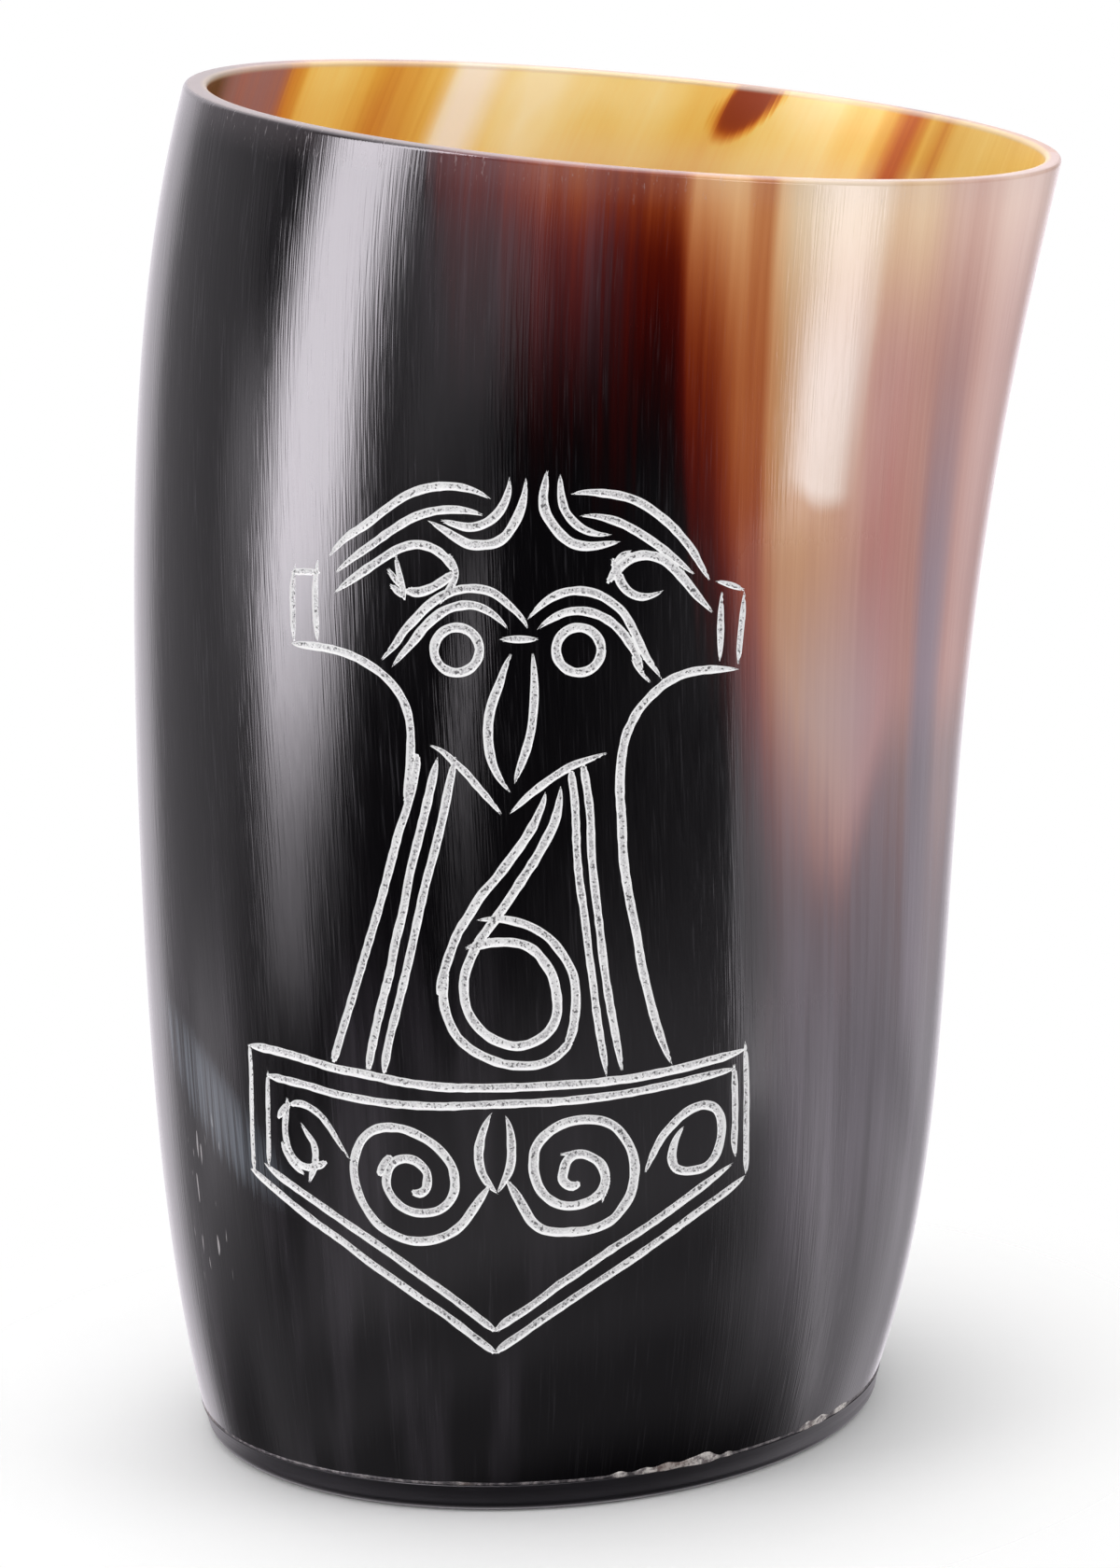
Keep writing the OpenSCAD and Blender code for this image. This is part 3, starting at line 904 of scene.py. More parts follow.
def colour(code):
    """A colour from its six-figure screen code, as linear light."""
    parts = [int(code[i:i + 2], 16) / 255 for i in (0, 2, 4)]
    linear = [c / 12.92 if c <= 0.04045 else ((c + 0.055) / 1.055) ** 2.4 for c in parts]
    return (*linear, 1.0)


# Pigment in the horn at its rim, behind the cup and before it, from none to near black: the degrees of turn,
# and how much is there
PIGMENT_BEHIND = (
    (0, 0.36), (3, 0.45), (14, 0.40), (27, 0.30), (32, 0.40), (35, 1.0), (38, 0.45), (40, 1.7), (42.5, 2.0),
    (45, 0.80), (48, 0.25), (51, 0.30), (55, 0.05), (59, 0.05), (64, 0.20), (75, 0.45), (79, 0.25),
    (83, 0.14), (86, 0.20), (93, 0.10), (100, 0.02), (106, 0.14), (112, 0.02), (115, 0.50), (120, 0.80),
    (124, 1.0), (128, 0.50), (133, 0.28), (139, 0.34), (145, 1.8), (155, 2.3), (165, 5.0))
PIGMENT_BEFORE = (
    (238, 5.0), (242, 3.3), (245, 2.5), (248, 2.1), (252, 1.75), (255, 1.50), (257.2, 1.25), (258.4, 0.85),
    (260, 1.25), (262, 0.95), (265, 1.15), (268, 1.05), (270, 1.35), (272, 1.0), (274, 1.15), (275.6, 0.85),
    (277.3, 0.12), (278.6, 0.20), (280.5, 0.10), (283.5, 0.05), (285.2, 0.38), (286.6, 0.66), (288, 0.12),
    (292, 0.05), (299, 0.07), (303, 0.14), (306, 0.24), (309, 0.12), (317, 0.28), (321, 0.30), (328, 0.10),
    (360, 0.36))
MOST_PIGMENT = 5.0
# Where the horn turns from light to dark: the degrees of turn, and the share of the way up
LIGHT_ENDS = (
    (0, 0.44), (40, 0.48), (70, 0.52), (100, 0.56), (125, 0.62), (140, 0.72), (150, 0.84), (160, 1.0),
    (170, 1.3), (238, 1.3), (246, 0.80), (256, 0.62), (270, 0.60), (280, 0.59), (284, 0.60), (288, 0.54),
    (293, 0.46), (303, 0.41), (320, 0.40), (360, 0.42))
HIGHEST_END = 1.5

# Clear horn on its amber, tan and rosy sides and lit from behind: its red, green and blue without pigment,
# and how strongly the pigment soaks up each
AMBER_HORN = ((0.91, 0.58, 0.29), (1.0, 2.05, 2.7))
TAN_HORN = ((0.88, 0.70, 0.48), (1.0, 1.85, 2.6))
ROSY_HORN = ((0.88, 0.69, 0.58), (1.0, 1.75, 1.85))
LIT_HORN = ((0.91, 0.75, 0.41), (0.38, 1.1, 4.0))

# Tints that lie over the horn's own colour, some of them painted sheen, highlight and reflection: the screen
# code, and how strong the tint is at most
TINTS = {
    "near_black": ("050406", 1.0),
    "reddish": ("b0625c", 0.7),
    "plum": ("7d6c7a", 0.9),
    "violet_and_sheen": ("866d78", 1.0),
    # The pale streak's cream, partly a painted highlight
    "cream_and_highlight": ("f8ece3", 1.0),
    "milky_sheen": ("aea4ac", 0.5),
    "pale_ash_and_sheen": ("665f68", 1.0),
    "inner_milk": ("f5e8d6", 1.0),
    "inner_murk": ("8a6468", 1.0),
    "inner_mark": ("7d2f05", 0.9),
    "brush_marks": ("8d8a92", 1.0),
    "rim_sheen": ("a3969c", 0.10),
    "nicks": ("cfc9cc", 0.6),
    "sawn_rim": ("c4b6b3", 0.5),
    "inner_lip": ("e6d9c8", 0.5),
    "smears": ("77707a", 0.16),
    "reflection_patch": ("8f97a3", 0.75),
    "scuffs": ("b5aeb0", 0.2)}
# The ashen grey low on the far side, partly the horn's own grey and partly a painted sheen: its dark
# streaks, and how strong it is at most
DARK_ASH_AND_SHEEN = "453f46"
ASH_AND_SHEEN_STRENGTH = 0.65

# Zones of the horn: each is a product of smooth steps in degrees of turn and of smooth steps in shares of
# the way up, and a step is written as the value where it is nothing and the value where it is full
ZONES = {
    "maroon_side": (((198, 216),), ()),
    "amber_streaks": (((198, 216), (286, 279.5)), ()),
    "near_streaks": (((198, 216), (292, 287)), ()),
    "tan": (((286, 291),), ()),
    "rosy_side": (((293, 306),), ()),
    "far_side": (((309, 318),), ()),
    "rosy_streak": (((302, 306), (315, 308)), ()),
    "reddish": (((302, 306), (315, 308)), ((0.95, 0.75), (0.42, 0.62))),
    "plum": (((314, 318), (326, 320)), ((0.97, 0.62),)),
    "violet_and_sheen": (((240, 251), (272, 263)), ((0.80, 0.97),)),
    "cream_and_highlight": (((289.5, 295.5),), ()),
    "milky_sheen": (((319, 303),), ((0.75, 0.58), (0.30, 0.62))),
    "ash_and_sheen": (((286, 296), (352, 345)), ((0.05, 0.25),)),
    "dull": (((282, 286), (312, 305)), ((0.78, 0.70), (0.25, 0.45))),
    "inner_milk": (((104, 109), (115, 110.5)), ()),
    "inner_haze": (((108, 100),), ((0.965, 0.93), (0.74, 0.90))),
    "inner_murk": (((142, 146), (168, 158)), ()),
    "nicks": (((190, 193), (204, 201)), ((0.12, 0.15), (0.28, 0.24))),
    "smears": (((162, 180), (270, 252)), ((0.5, 0.3),)),
    "brush_marks": (((255, 240),), ((0.4, 0.6),)),
    "rim_sheen": ((), ((0.97, 1.0),)),
    "scuffs": ((), ((0.965, 0.995),))}

# Leaning oval spots: the degrees of turn and the share of the way up of the middle, the half width in
# degrees, the half height as a share of the way up, the lean in degrees for the whole way up, and how ragged
SPOTS = {
    "inner_mark": (68.74, 0.988, 4.81, 0.0402, 55.0, 0.52),
    # The patch low on the tall side is a painted reflection
    "reflection_patch": (202.0, 0.275, 10.0, 0.075, 195.0, 1.4)}

# The degrees that the fibres turn back by towards the foot, how much more steeply near the rim, and the
# degrees more inside
FIBRE_TWIST = 13
TWIST_AT_RIM = 1.2
INNER_TWIST = 14
# The degrees that the maroon side's edge leans over the whole way down, and where it is at the rim
MAROON_LEAN = 8
MAROON_EDGE = (276.4, 275.0)
# The pale streak on the low side, partly pale horn and partly a painted highlight: the far edge's lean in
# degrees over the whole way up, its shift at the foot, and where it lies; then the step in the polishing
# that cuts the streak and its painted highlight off below, as a share of the way up, how much higher it is
# near the front, where it rises, and how much it wavers
CREAM_HIGHLIGHT_LEAN = 18
CREAM_HIGHLIGHT_SHIFT = 13.6
CREAM_HIGHLIGHT_EDGE = (302, 297.5)
POLISH_STEP = (0.750, 0.771)
STEP_RISE = 0.014
STEP_RISES = (297, 292)
STEP_WAVER = 0.008
# Where the painted milky sheen starts, in degrees, and how ragged its start is
MILKY_SHEEN_STARTS = (283, 299)
MILKY_SHEEN_RAGGED = 10.8
# Where the ashen grey with its painted sheen ends above, how much higher it ends on the far side, and where
# it rises
ASH_AND_SHEEN_TOP = (0.50, 0.40)
ASH_AND_SHEEN_RISE = 0.12
ASH_AND_SHEEN_RISES = (300, 312)
# Noises along the fibres: the grains' width and length in millimetres, the detail and the roughness
GRAINS = {
    "broad": (9.0, 90.0, 2.0, 0.5),
    "narrow": (2.0, 70.0, 3.0, 0.6),
    "fine": (0.5, 26.0, 2.0, 0.6),
    "hair": (0.16, 5.0, 1.0, 0.5),
    "clouds": (7.0, 12.0, 2.0, 0.5),
    "scuffs": (0.3, 1.2, 2.0, 0.7),
    "nicks": (0.4, 3.0, 0.0, 0.5),
    "smears": (5.0, 32.0, 2.0, 0.5),
    "waves": (13.0, 34.0, 1.0, 0.5)}
# How much the broad and the narrow grains shift the streaks, as shares of the whole turn
BROAD_WAVER = 0.004
NARROW_WAVER = 0.005
# How rough the horn is at its smoothest, and how much each kind of mark adds
SMOOTHEST = 0.065
FINE_ROUGH = 0.05
HAIR_ROUGH = 0.06
DULL_ROUGH = 0.24
EDGE_ROUGH = 0.25
SCUFF_ROUGH = 0.2
INNER_ROUGH = 0.28
# How strongly the inside glows with the light that comes through, and how much less on the side in full
# light and at the lip
INNER_GLOW = 0.3
GLOW_LOST_FACED = 0.6
GLOW_LOST_LIP = 0.7
# The heights in metres of the skin's slow waves and fine hairs
WAVE_HEIGHT = 0.00015
HAIR_HEIGHT = 0.00002
HORN_REFRACTION = 1.5


def through_pigment(finish, pigment, horn):
    """Horn's colour under a pigment: each of the clear horn's three colours, times e to the power of minus
    the pigment times its uptake of that colour."""
    parts = [finish.math("EXPONENT", pigment * -uptake) * clear for clear, uptake in zip(*horn)]
    return finish.node("ShaderNodeCombineColor", None, dict(enumerate(parts)))


class HornPlace:
    """Where on the horn its finish is, with the turn counted along the twisting fibres: the turn and the
    height, how far inside, and the noises whose grains run along the fibres."""

    def __init__(self, finish):
        self.finish = finish
        x, y, self.up = finish.split(finish.attribute("round_and_up", 1))
        self.down = 1 - self.up
        self.into = finish.attribute("into_wall")
        self.inside = finish.smooth(self.into, 0.6, 0.95)
        self.outside = 1 - self.inside
        turn = finish.math("ARCTAN2", y, x) / (2 * np.pi)
        turn = turn - self.down * (1 + self.up * TWIST_AT_RIM) * (FIBRE_TWIST / 360)
        turn = turn - self.inside * self.down * (INNER_TWIST / 360)
        angle = turn * (2 * np.pi)
        self.cosine = finish.math("COSINE", angle)
        self.sine = finish.math("SINE", angle)
        self.broad = self.grain("broad")
        self.narrow = self.grain("narrow")
        self.fine = self.grain("fine")
        self.hair = self.grain("hair")
        self.clouds = self.grain("clouds")
        waver = (self.broad - 0.5) * BROAD_WAVER + (self.narrow - 0.5) * NARROW_WAVER
        self.round = finish.math("FRACT", turn + waver + 1.0)
        self.degrees = self.round * 360

    def grain(self, name):
        """One of the noises along the fibres."""
        width, length, detail, rough = GRAINS[name]
        vector = self.finish.join(
            self.cosine * (FLAT_TURN / width), self.sine * (FLAT_TURN / width), self.up * (FLAT_UP / length))
        return self.finish.noise(vector, 1.0, detail, rough)

    def around(self, table, most):
        """A number from a table of degrees, carried by a ramp as its red, in shares of the most."""
        stops = [(degrees / 360, (value / most, 0.0, 0.0, 1.0)) for degrees, value in table]
        ramp = self.finish.node("ShaderNodeValToRGB", {"stops": stops}, {0: self.round})
        return self.finish.node("ShaderNodeSeparateColor", None, {0: ramp}) * most

    def zone(self, name):
        """How much of a zone there is: the product of its smooth steps."""
        share = 1.0
        for value, steps in zip((self.degrees, self.up), ZONES[name]):
            for nothing, full in steps:
                share = self.finish.smooth(value, nothing, full) * share
        return share

    def spot(self, name):
        """How much of a spot there is: a smooth step down from its middle in the square of the distance,
        where its edge is 1, with the turn shifted by the lean and made ragged by the fine grain."""
        turn, up, wide, tall, lean, ragged = SPOTS[name]
        above = self.up - up
        beside = (self.degrees - turn + above * lean) / wide + (self.fine - 0.5) * ragged
        above = above / tall
        return self.finish.smooth(beside * beside + above * above, 1.0, 0.0)

    def tint(self, share, under, name):
        """A colour with a tint over it, by a share of the tint's full strength."""
        code, strength = TINTS[name]
        return self.finish.blend(share * strength, under, colour(code))


def horn_pigment(horn, mark):
    """How much pigment lies in the horn: what the rim has there, more with the depth below the rim, and near
    black below where the light part ends. Inside, a dark mark and some cloudiness are added."""
    finish, up = horn.finish, horn.up
    halfway = finish.smooth(horn.round, 0.499, 0.501)
    behind = horn.around(PIGMENT_BEHIND, MOST_PIGMENT)
    before = horn.around(PIGMENT_BEFORE, MOST_PIGMENT)
    at_rim = behind * (1 - halfway) + before * halfway
    end = horn.around(LIGHT_ENDS, HIGHEST_END) + (horn.narrow - 0.5) * 0.16 + (horn.broad - 0.5) * 0.14
    below = finish.smooth(up, end + 0.15, end - 0.15) * 3.3 + finish.smooth(up, 0.38, 0.1) * 3
    # The maroon streaks darken fast under the rim and steadily below it, the amber ones beside them slower,
    # and the rosy ones on the low side deepen early
    maroon = finish.smooth(horn.degrees - horn.down * MAROON_LEAN, *MAROON_EDGE) * horn.zone("maroon_side")
    steady = horn.down * (horn.zone("amber_streaks") * 7.6 + maroon * 4)
    steady = steady + maroon * finish.smooth(up, 0.985, 0.93) * 0.5
    deepen = finish.smooth(up, 1.0, 0.84) * (horn.zone("rosy_streak") * 0.10 + 0.40)
    deepen = deepen + finish.smooth(up, 0.84, 0.64) * (horn.zone("near_streaks") * 0.35 + 0.2)
    pigment = at_rim * (0.65 + horn.narrow * 0.7) + deepen + steady * (0.6 + horn.narrow * 0.8) + below
    pigment = pigment + (mark * 2.6 + (horn.clouds - 0.5) * 0.5) * horn.inside
    return finish.math("MAXIMUM", pigment * (0.82 + horn.fine * 0.36), 0.0)


def outer_colour(horn, pigment):
    """The horn's outside: amber, then tan, then rosy as it turns from the front to the low side, with
    reddish and plum streaks, violet streaks with some painted sheen, a pale streak that is partly a painted
    highlight, and below it a painted milky sheen and an ashen grey that is partly a painted sheen."""
    finish, up, degrees = horn.finish, horn.up, horn.degrees
    amber = through_pigment(finish, pigment, AMBER_HORN)
    tan = through_pigment(finish, pigment, TAN_HORN)
    rosy = through_pigment(finish, pigment, ROSY_HORN)
    far = horn.zone("far_side")
    rosy_share = horn.zone("rosy_side") * (finish.smooth(up, 0.98, 0.84) * (1 - far) + far)
    body = finish.blend(horn.zone("tan"), amber, tan)
    body = finish.blend(rosy_share, body, rosy)
    body = horn.tint(horn.zone("reddish") * horn.narrow, body, "reddish")
    body = horn.tint(horn.zone("plum"), body, "plum")
    body = horn.tint(finish.smooth(pigment, 2.8, 5.5), body, "near_black")
    # Violet-grey fibres near the rim on the front: partly the horn's own fibres, partly a painted sheen
    violet_and_sheen = horn.zone("violet_and_sheen") * (finish.smooth(horn.fine, 0.42, 0.7) * 0.13 + 0.08)
    body = horn.tint(violet_and_sheen, body, "violet_and_sheen")
    # The pale streak, partly a painted highlight, is cut off below by a shallow step in the polishing
    cream_and_highlight = horn.zone("cream_and_highlight") * finish.smooth(degrees - up * CREAM_HIGHLIGHT_LEAN + CREAM_HIGHLIGHT_SHIFT, *CREAM_HIGHLIGHT_EDGE)
    cream_and_highlight = cream_and_highlight * (finish.smooth(up, 0.94, 0.84) * 0.28 + 0.34)
    step = up - finish.smooth(degrees, *STEP_RISES) * STEP_RISE + (horn.clouds - 0.5) * STEP_WAVER
    body = horn.tint(cream_and_highlight * finish.smooth(step, *POLISH_STEP), body, "cream_and_highlight")
    # A painted dull sheen: a milky grey-mauve laid over the low side below the pale streak
    starts = finish.smooth(degrees + (horn.narrow - 0.5) * MILKY_SHEEN_RAGGED, *MILKY_SHEEN_STARTS)
    body = horn.tint(horn.zone("milky_sheen") * starts, body, "milky_sheen")
    # Grey low on the far side: partly the horn's own grey, partly a painted sheen of the bright table
    higher = up - finish.smooth(degrees, *ASH_AND_SHEEN_RISES) * ASH_AND_SHEEN_RISE
    ash_and_sheen = horn.tint(finish.smooth(horn.narrow, 0.35, 0.65), colour(DARK_ASH_AND_SHEEN), "pale_ash_and_sheen")
    return finish.blend(horn.zone("ash_and_sheen") * finish.smooth(higher, *ASH_AND_SHEEN_TOP) * ASH_AND_SHEEN_STRENGTH, body, ash_and_sheen)


def inner_colour(horn, pigment, mark):
    """The horn's inside, which light from behind makes blond, with milky, murky and dark places."""
    finish = horn.finish
    lit = through_pigment(finish, pigment, LIT_HORN)
    milky = horn.zone("inner_milk") * 0.8 + horn.clouds * 0.1 + horn.zone("inner_haze") * 0.15
    lit = horn.tint(milky * finish.smooth(pigment, 2.2, 0.4), lit, "inner_milk")
    lit = horn.tint(horn.zone("inner_murk") * (horn.narrow * 0.7 + 0.4), lit, "inner_murk")
    return horn.tint(finish.smooth(mark, 0.3, 0.9), lit, "inner_mark")


def wear_and_painted_light(horn, body, lip, edge, scuffed):
    """The marks of making and use, with painted light among them: faint brush marks, a painted sheen and
    scuffs under the rim, small white nicks low on the tall side, the paler sawn rim, long soft smears, and
    one patch with a fine grain whose bluish grey is a painted reflection."""
    finish, outside = horn.finish, horn.outside
    streaks = finish.smooth(horn.hair, 0.55, 0.8) * finish.smooth(horn.narrow, 0.35, 0.65)
    body = horn.tint(streaks * (horn.zone("brush_marks") * 0.05 + 0.05) * outside, body, "brush_marks")
    # A painted sheen: a pale lilac veil just under the rim
    body = horn.tint(horn.zone("rim_sheen") * outside, body, "rim_sheen")
    nicked = finish.smooth(horn.grain("nicks"), 0.74, 0.79)
    body = horn.tint(nicked * horn.zone("nicks") * outside, body, "nicks")
    body = horn.tint(edge, body, "sawn_rim")
    body = horn.tint(lip * horn.inside, body, "inner_lip")
    smeared = finish.smooth(horn.grain("smears"), 0.45, 0.7) * (horn.fine * 0.9 + 0.2)
    body = horn.tint(smeared * horn.zone("smears") * outside, body, "smears")
    # A painted reflection: a bluish-grey patch low on the tall side, with a fine grain
    patch_grain = finish.smooth(horn.fine, 0.3, 0.65) * (horn.hair * 0.4 + 0.4)
    body = horn.tint(horn.spot("reflection_patch") * patch_grain * outside, body, "reflection_patch")
    return horn.tint(scuffed, body, "scuffs")


def polished_horn():
    """Polished horn: clear horn over a pigment that is near black on the tall side and most of the way up,
    and thins out to maroon, amber and blond streaks towards the rim and round the low side. The fibres run
    up the horn with a slight twist, as the horn grew. Seen from inside, it glows with the light that comes
    through."""
    finish = finish_named("polished_horn")
    horn = HornPlace(finish)
    mark = horn.spot("inner_mark")
    pigment = horn_pigment(horn, mark)
    lit = inner_colour(horn, pigment, mark)
    body = finish.blend(horn.inside, outer_colour(horn, pigment), lit)
    # The sawn and rounded rim is paler and duller, and the skin just under it is scuffed
    lip = finish.smooth(horn.up, 1 - 1.5 * LIP_DROP_SHARE, 1 - 0.6 * LIP_DROP_SHARE)
    edge = finish.smooth(horn.into, 0.02, 0.2) * finish.smooth(horn.into, 0.98, 0.8) * lip
    scuffed = finish.smooth(horn.grain("scuffs"), 0.60, 0.74) * horn.zone("scuffs") * horn.outside
    body = wear_and_painted_light(horn, body, lip, edge, scuffed)
    # The low side's inner face is in full light from the left
    faced = finish.smooth(horn.degrees, 50, 35) + finish.smooth(horn.degrees, 306, 324)
    through = horn.inside * (1 - faced * GLOW_LOST_FACED) * (1 - lip * GLOW_LOST_LIP)
    glow = finish.blend(through, colour("000000"), lit)
    rough = SMOOTHEST + horn.fine * FINE_ROUGH + horn.hair * HAIR_ROUGH + horn.zone("dull") * DULL_ROUGH
    rough = rough + edge * EDGE_ROUGH + scuffed * SCUFF_ROUGH + horn.inside * INNER_ROUGH
    waves = finish.bump(horn.grain("waves"), 1.0, WAVE_HEIGHT)
    bump = finish.bump(horn.hair + horn.fine * 0.4, 0.6, HAIR_HEIGHT, waves)
    return finish.surface(body, rough, bump, HORN_REFRACTION, {
        "Emission Color": glow, "Emission Strength": INNER_GLOW})


def carved_line():
    """The bottom and sides of the carved lines: bare crushed horn, whitish at the sides, and greyer along
    the middle where the round cutter has burnished it and left dark pits."""
    finish = finish_named("carved_line")
    floor = finish.attribute("cut_floor")
    place = finish.place()
    grain = finish.noise(place, 5200.0, 2.0, 0.6)
    patch = finish.noise(place, 260.0, 2.0, 0.5)
    pits = finish.noise(place, 3600.0, 1.0, 0.5)
    middle = finish.smooth(floor, 0.74, 0.92) * (finish.smooth(patch, 0.3, 0.6) * 0.6 + 0.4)
    chalk = finish.blend(grain, colour("f8f7f8"), colour("ffffff"))
    burnished = finish.blend(finish.smooth(grain, 0.35, 0.65), colour("7d7a80"), colour("e8e6e8"))
    body = finish.blend(middle * 0.7, chalk, burnished)
    pitted = finish.smooth(pits, 0.59, 0.65) * finish.smooth(floor, 0.7, 0.85) * 0.8
    body = finish.blend(pitted, body, colour("1c1a1e"))
    return finish.surface(body, 0.75, finish.bump(grain, 0.5, 0.00004), 1.45)


def plate_finish():
    """Black horn, rubbed to a satin with fine rings round its edge."""
    finish = finish_named("satin_black_horn")
    place = finish.place()
    x, y, z = finish.split(place)
    rings = finish.noise(finish.join(x * 60.0, y * 60.0, z * 5000.0), 1.0, 2.0, 0.6)
    body = finish.blend(finish.noise(place, 120.0, 3.0, 0.6), colour("131215"), colour("232125"))
    return finish.surface(body, 0.28 + rings * 0.2, finish.bump(rings, 0.3, 0.00002), HORN_REFRACTION)


def glue_finish():
    """Cured glue: clear over the black horn, so grey, and whitish and crusty where dust has stuck to it."""
    finish = finish_named("cured_glue")
    place = finish.place()
    crust = finish.noise(place, 1400.0, 3.0, 0.7)
    tone = finish.noise(place, 160.0, 2.0, 0.5)
    thin = finish.blend(finish.smooth(crust, 0.4, 0.7), colour("2b282b"), colour("8b8586"))
    thick = finish.blend(finish.smooth(crust, 0.35, 0.6), colour("6d6566"), colour("e2dcd8"))
    body = finish.blend(finish.smooth(finish.attribute("creep"), 0.1, 0.3), thin, thick)
    body = finish.blend(finish.smooth(tone, 0.5, 0.7) * 0.5, body, colour("7a5f50"))
    return finish.surface(body, 0.38 + crust * 0.3, finish.bump(crust, 0.6, 0.00006), 1.5)


# The table is a round top just under the cup, and fades out towards its rim
TABLE_RADIUS = 80.0
TABLE_DROP = 0.05
TABLE_SIDES = 96
FADE_FROM = 0.42
FADE_TO = 0.98


def table_finish():
    """A plain table top, grey to light, pale to the camera, and nothing to mirrored light, for which the
    world shows the table as one of its panels."""
    finish = finish_named("pale_table")
    place = finish.place()
    pale = finish.blend(finish.noise(place, 8.0, 2.0, 0.5), colour("f4f4f4"), colour("fbfbfb"))
    body = finish.blend(finish.ray("Camera"), colour("646464"), pale)
    x, y, _ = finish.split(place)
    out = (x * x + y * y) ** 0.5
    seen = 1 - finish.smooth(out, TABLE_RADIUS * MM * FADE_FROM, TABLE_RADIUS * MM * FADE_TO)
    seen = seen * (1 - finish.ray("Glossy"))
    return finish.show("ShaderNodeBsdfPrincipled", {
        "Base Color": body, "Roughness": 0.9, "IOR": 1.3, "Alpha": seen})


# The cup

horn = make_horn([polished_horn(), carved_line()])
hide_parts("horn_wall")
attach(horn, "root")

plate = make_plate(plate_finish())
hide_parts("base_plate")
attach(plate, "root")

glue = make_glue(glue_finish())
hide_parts("glue_joint")
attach(glue, "root")


# The table, the lamps and the world

def make_table():
    """A flat fan of faces from a middle point to a circle."""
    k = np.arange(TABLE_SIDES)
    rim = round_row(2 * np.pi * k / TABLE_SIDES, TABLE_RADIUS, -TABLE_DROP)
    points = np.vstack([rim, [[0.0, 0.0, -TABLE_DROP]]])
    faces = np.stack([k, (k + 1) % TABLE_SIDES, 0 * k + TABLE_SIDES], axis=-1)
    new_piece("table_top", points, faces, [table_finish()])


# The height in metres on the cup that the lamps look at
LAMP_AIM = 0.07


def add_softbox(name, azimuth, height, away, wide, tall, radiance):
    """A soft lamp that looks at the cup from an azimuth in degrees and a height in metres. Its power is its
    radiance times its area times pi. The world shows the panels that the cup's polish mirrors."""
    data = bpy.data.lights.new(name, "AREA")
    data.shape = "RECTANGLE"
    data.size = wide
    data.size_y = tall
    data.energy = radiance * wide * tall * np.pi
    lamp = bpy.data.objects.new(name, data)
    lamp.visible_glossy = False
    turn = np.radians(azimuth)
    place = Vector((away * np.cos(turn), away * np.sin(turn), height))
    lamp.location = place
    lamp.rotation_euler = (Vector((0.0, 0.0, LAMP_AIM)) - place).to_track_quat("-Z", "Y").to_euler()
    scene.collection.objects.link(lamp)


# What the polish mirrors of the studio: each panel's middle azimuth and elevation, its half width and half
# height, the slant of its sides and its edges' softness, all in degrees, and its brightness
PANELS = (
    (99, 0, 29, 70, 0, 9, 1.1),
    (209.5, 25, 12.0, 34.3, 0.36, 6, 15.0),
    (180, -3.5, 7, 3.5, 0, 8, 2.0),
    (215, 0, 4, 8, 0.42, 8, 1.7),
    (192, -11.5, 9, 2.0, 0, 4, 1.2),
    (192, -13.2, 8, 0.6, 0, 3, 1.6),
    (150, 15, 28, 38, 0, 8, 0.40),
    (158, -16, 9, 2.0, 0.5, 4, 0.8),
    (238, 1, 14, 8.5, 0, 6, 0.75),
    (246, -12.1, 4.0, 0.7, 0, 2.0, 5.5),
    (310, -2, 6.5, 19.8, -1.2, 3.0, 6.0),
    (18, -24, 44, 14, 0, 18, 1.05),
    (0, -27, 7, 12, -1.7, 8, 1.3),
    (30, -21.6, 24, 0.5, 0, 2.4, -0.5),
    (250, -29, 90, 5, 0, 5, 0.27),
    (265, -38, 80, 7, 0, 8, 0.22))
# How bright the studio is to mirrored light in front, behind and overhead, and to all other light
FRONT_GLOSS = 0.02
BACK_GLOSS = 0.15
CEILING_GLOSS = 2.5
FILL = 0.75
# The table's edge as the front mirrors it: its middle azimuth, its elevation on the left, and how much lower
# it is on the right, in degrees, and its brightness
EDGE_AZIMUTH = 286
EDGE_ELEVATION = -17.7
EDGE_DROP = 3.4
EDGE_BRIGHT = 0.55


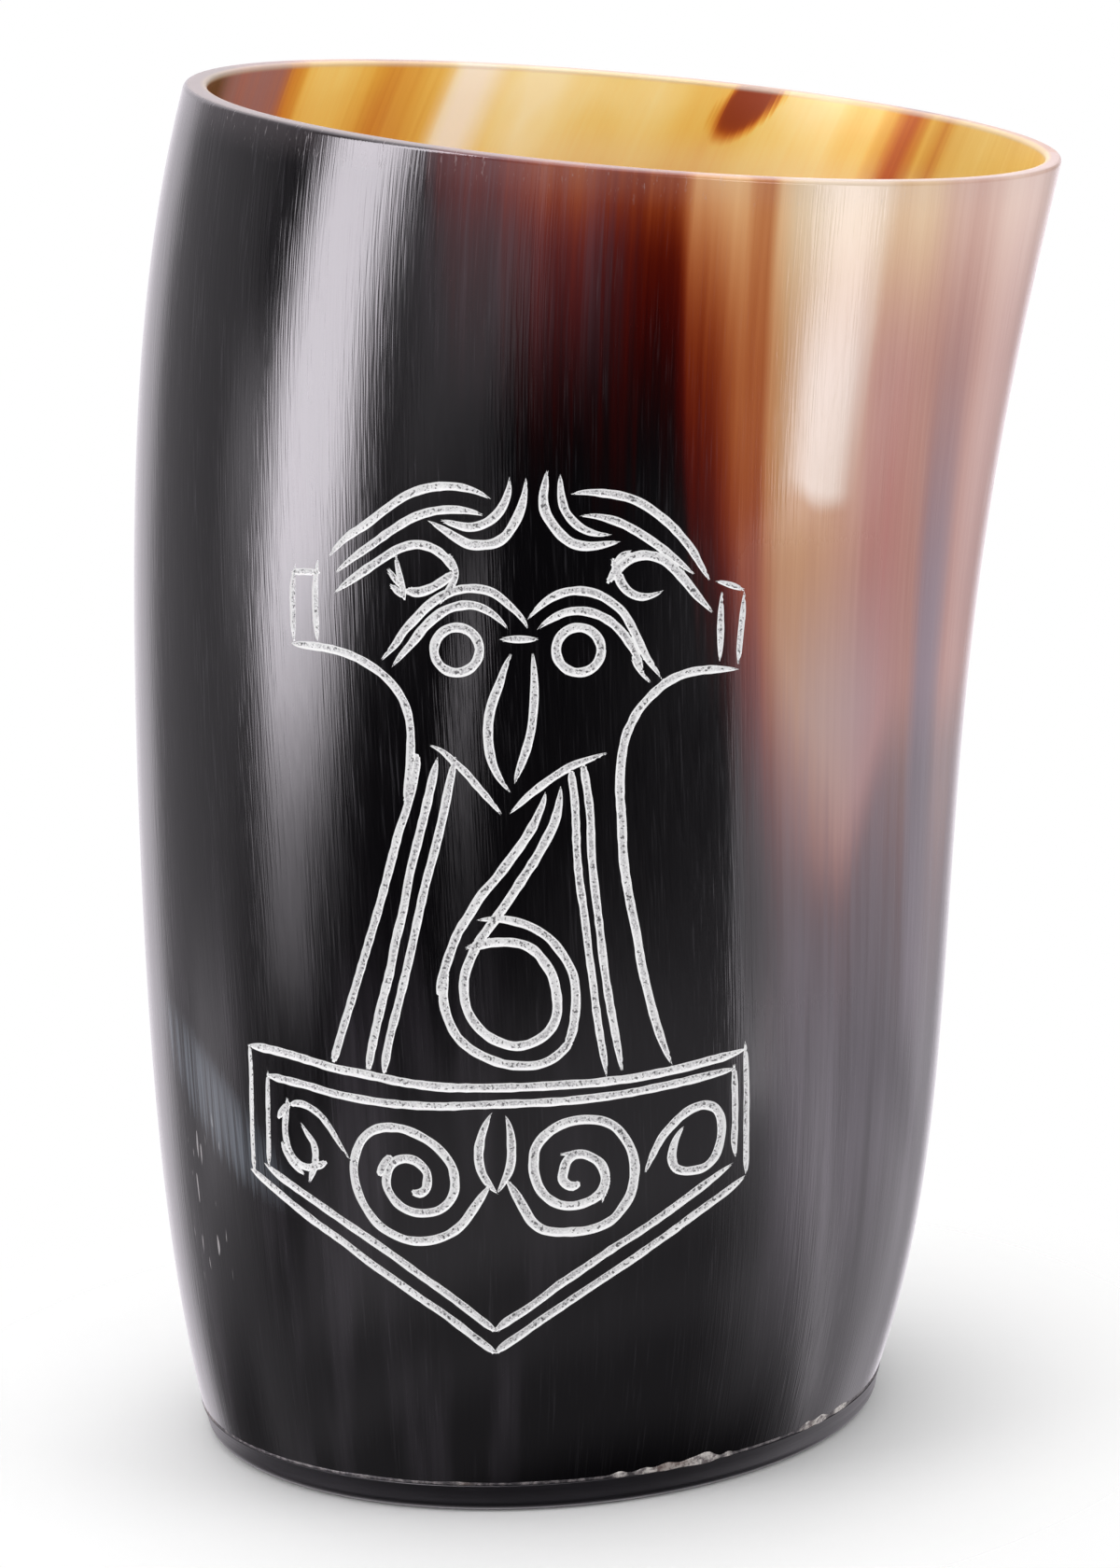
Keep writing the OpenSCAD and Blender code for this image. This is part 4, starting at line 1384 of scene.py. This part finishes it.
def light_world():
    """White where the camera looks past the cup, and an even soft fill. For mirrored light: dim all round,
    with the panels, and a bright ceiling. A panel's sides are two smooth steps in azimuth less the slant,
    and its ends are two in elevation. The mirrored table is a band below an edge that drops by a smooth
    step."""
    scene.world = bpy.data.worlds.new("studio")
    studio = Finish(scene.world)
    x, y, z = studio.split(studio.node("ShaderNodeTexCoord"))
    azimuth = studio.math("ARCTAN2", y, x) * (180 / np.pi)
    elevation = studio.math("ARCSINE", z) * (180 / np.pi)
    shown = studio.smooth(elevation, 40, 60) * CEILING_GLOSS + FRONT_GLOSS
    shown = shown + studio.smooth(y, -0.2, 0.2) * (BACK_GLOSS - FRONT_GLOSS)
    for middle, height, half, tall, slant, soft, bright in PANELS:
        above = elevation - height
        beside = studio.math("WRAP", azimuth - middle - above * slant, 180, -180)
        sides = studio.smooth(studio.math("ABSOLUTE", beside), half + soft, half - soft)
        ends = studio.smooth(studio.math("ABSOLUTE", above), tall + soft / 2, tall - soft / 2)
        shown = shown + sides * ends * bright
    across = studio.math("WRAP", azimuth - EDGE_AZIMUTH, 180, -180)
    past = elevation - EDGE_ELEVATION + studio.smooth(across, -15, 75) * EDGE_DROP
    sides = studio.smooth(studio.math("ABSOLUTE", across + 21), 95, 55)
    band = studio.smooth(past, 0.4, -0.7) * studio.smooth(elevation, -29, -24)
    shown = shown + band * sides * EDGE_BRIGHT
    mirrored = studio.math("MAXIMUM", studio.ray("Glossy"), studio.ray("Transmission"))
    strength = mirrored * shown + (1 - mirrored) * (studio.ray("Camera") * (1 - FILL) + FILL)
    tint = studio.blend(mirrored, colour("ffffff"), colour("fbf5fd"))
    studio.show("ShaderNodeBackground", {"Color": tint, "Strength": strength})


make_table()
light_world()
add_softbox("left_softbox", 200, 0.45, 0.85, 0.5, 0.7, 2.0)
add_softbox("right_softbox", 335, 0.50, 0.85, 0.5, 0.7, 2.0)
add_softbox("overhead_softbox", 90, 1.1, 0.25, 0.8, 0.8, 2.6)

scene.view_settings.view_transform = "Standard"
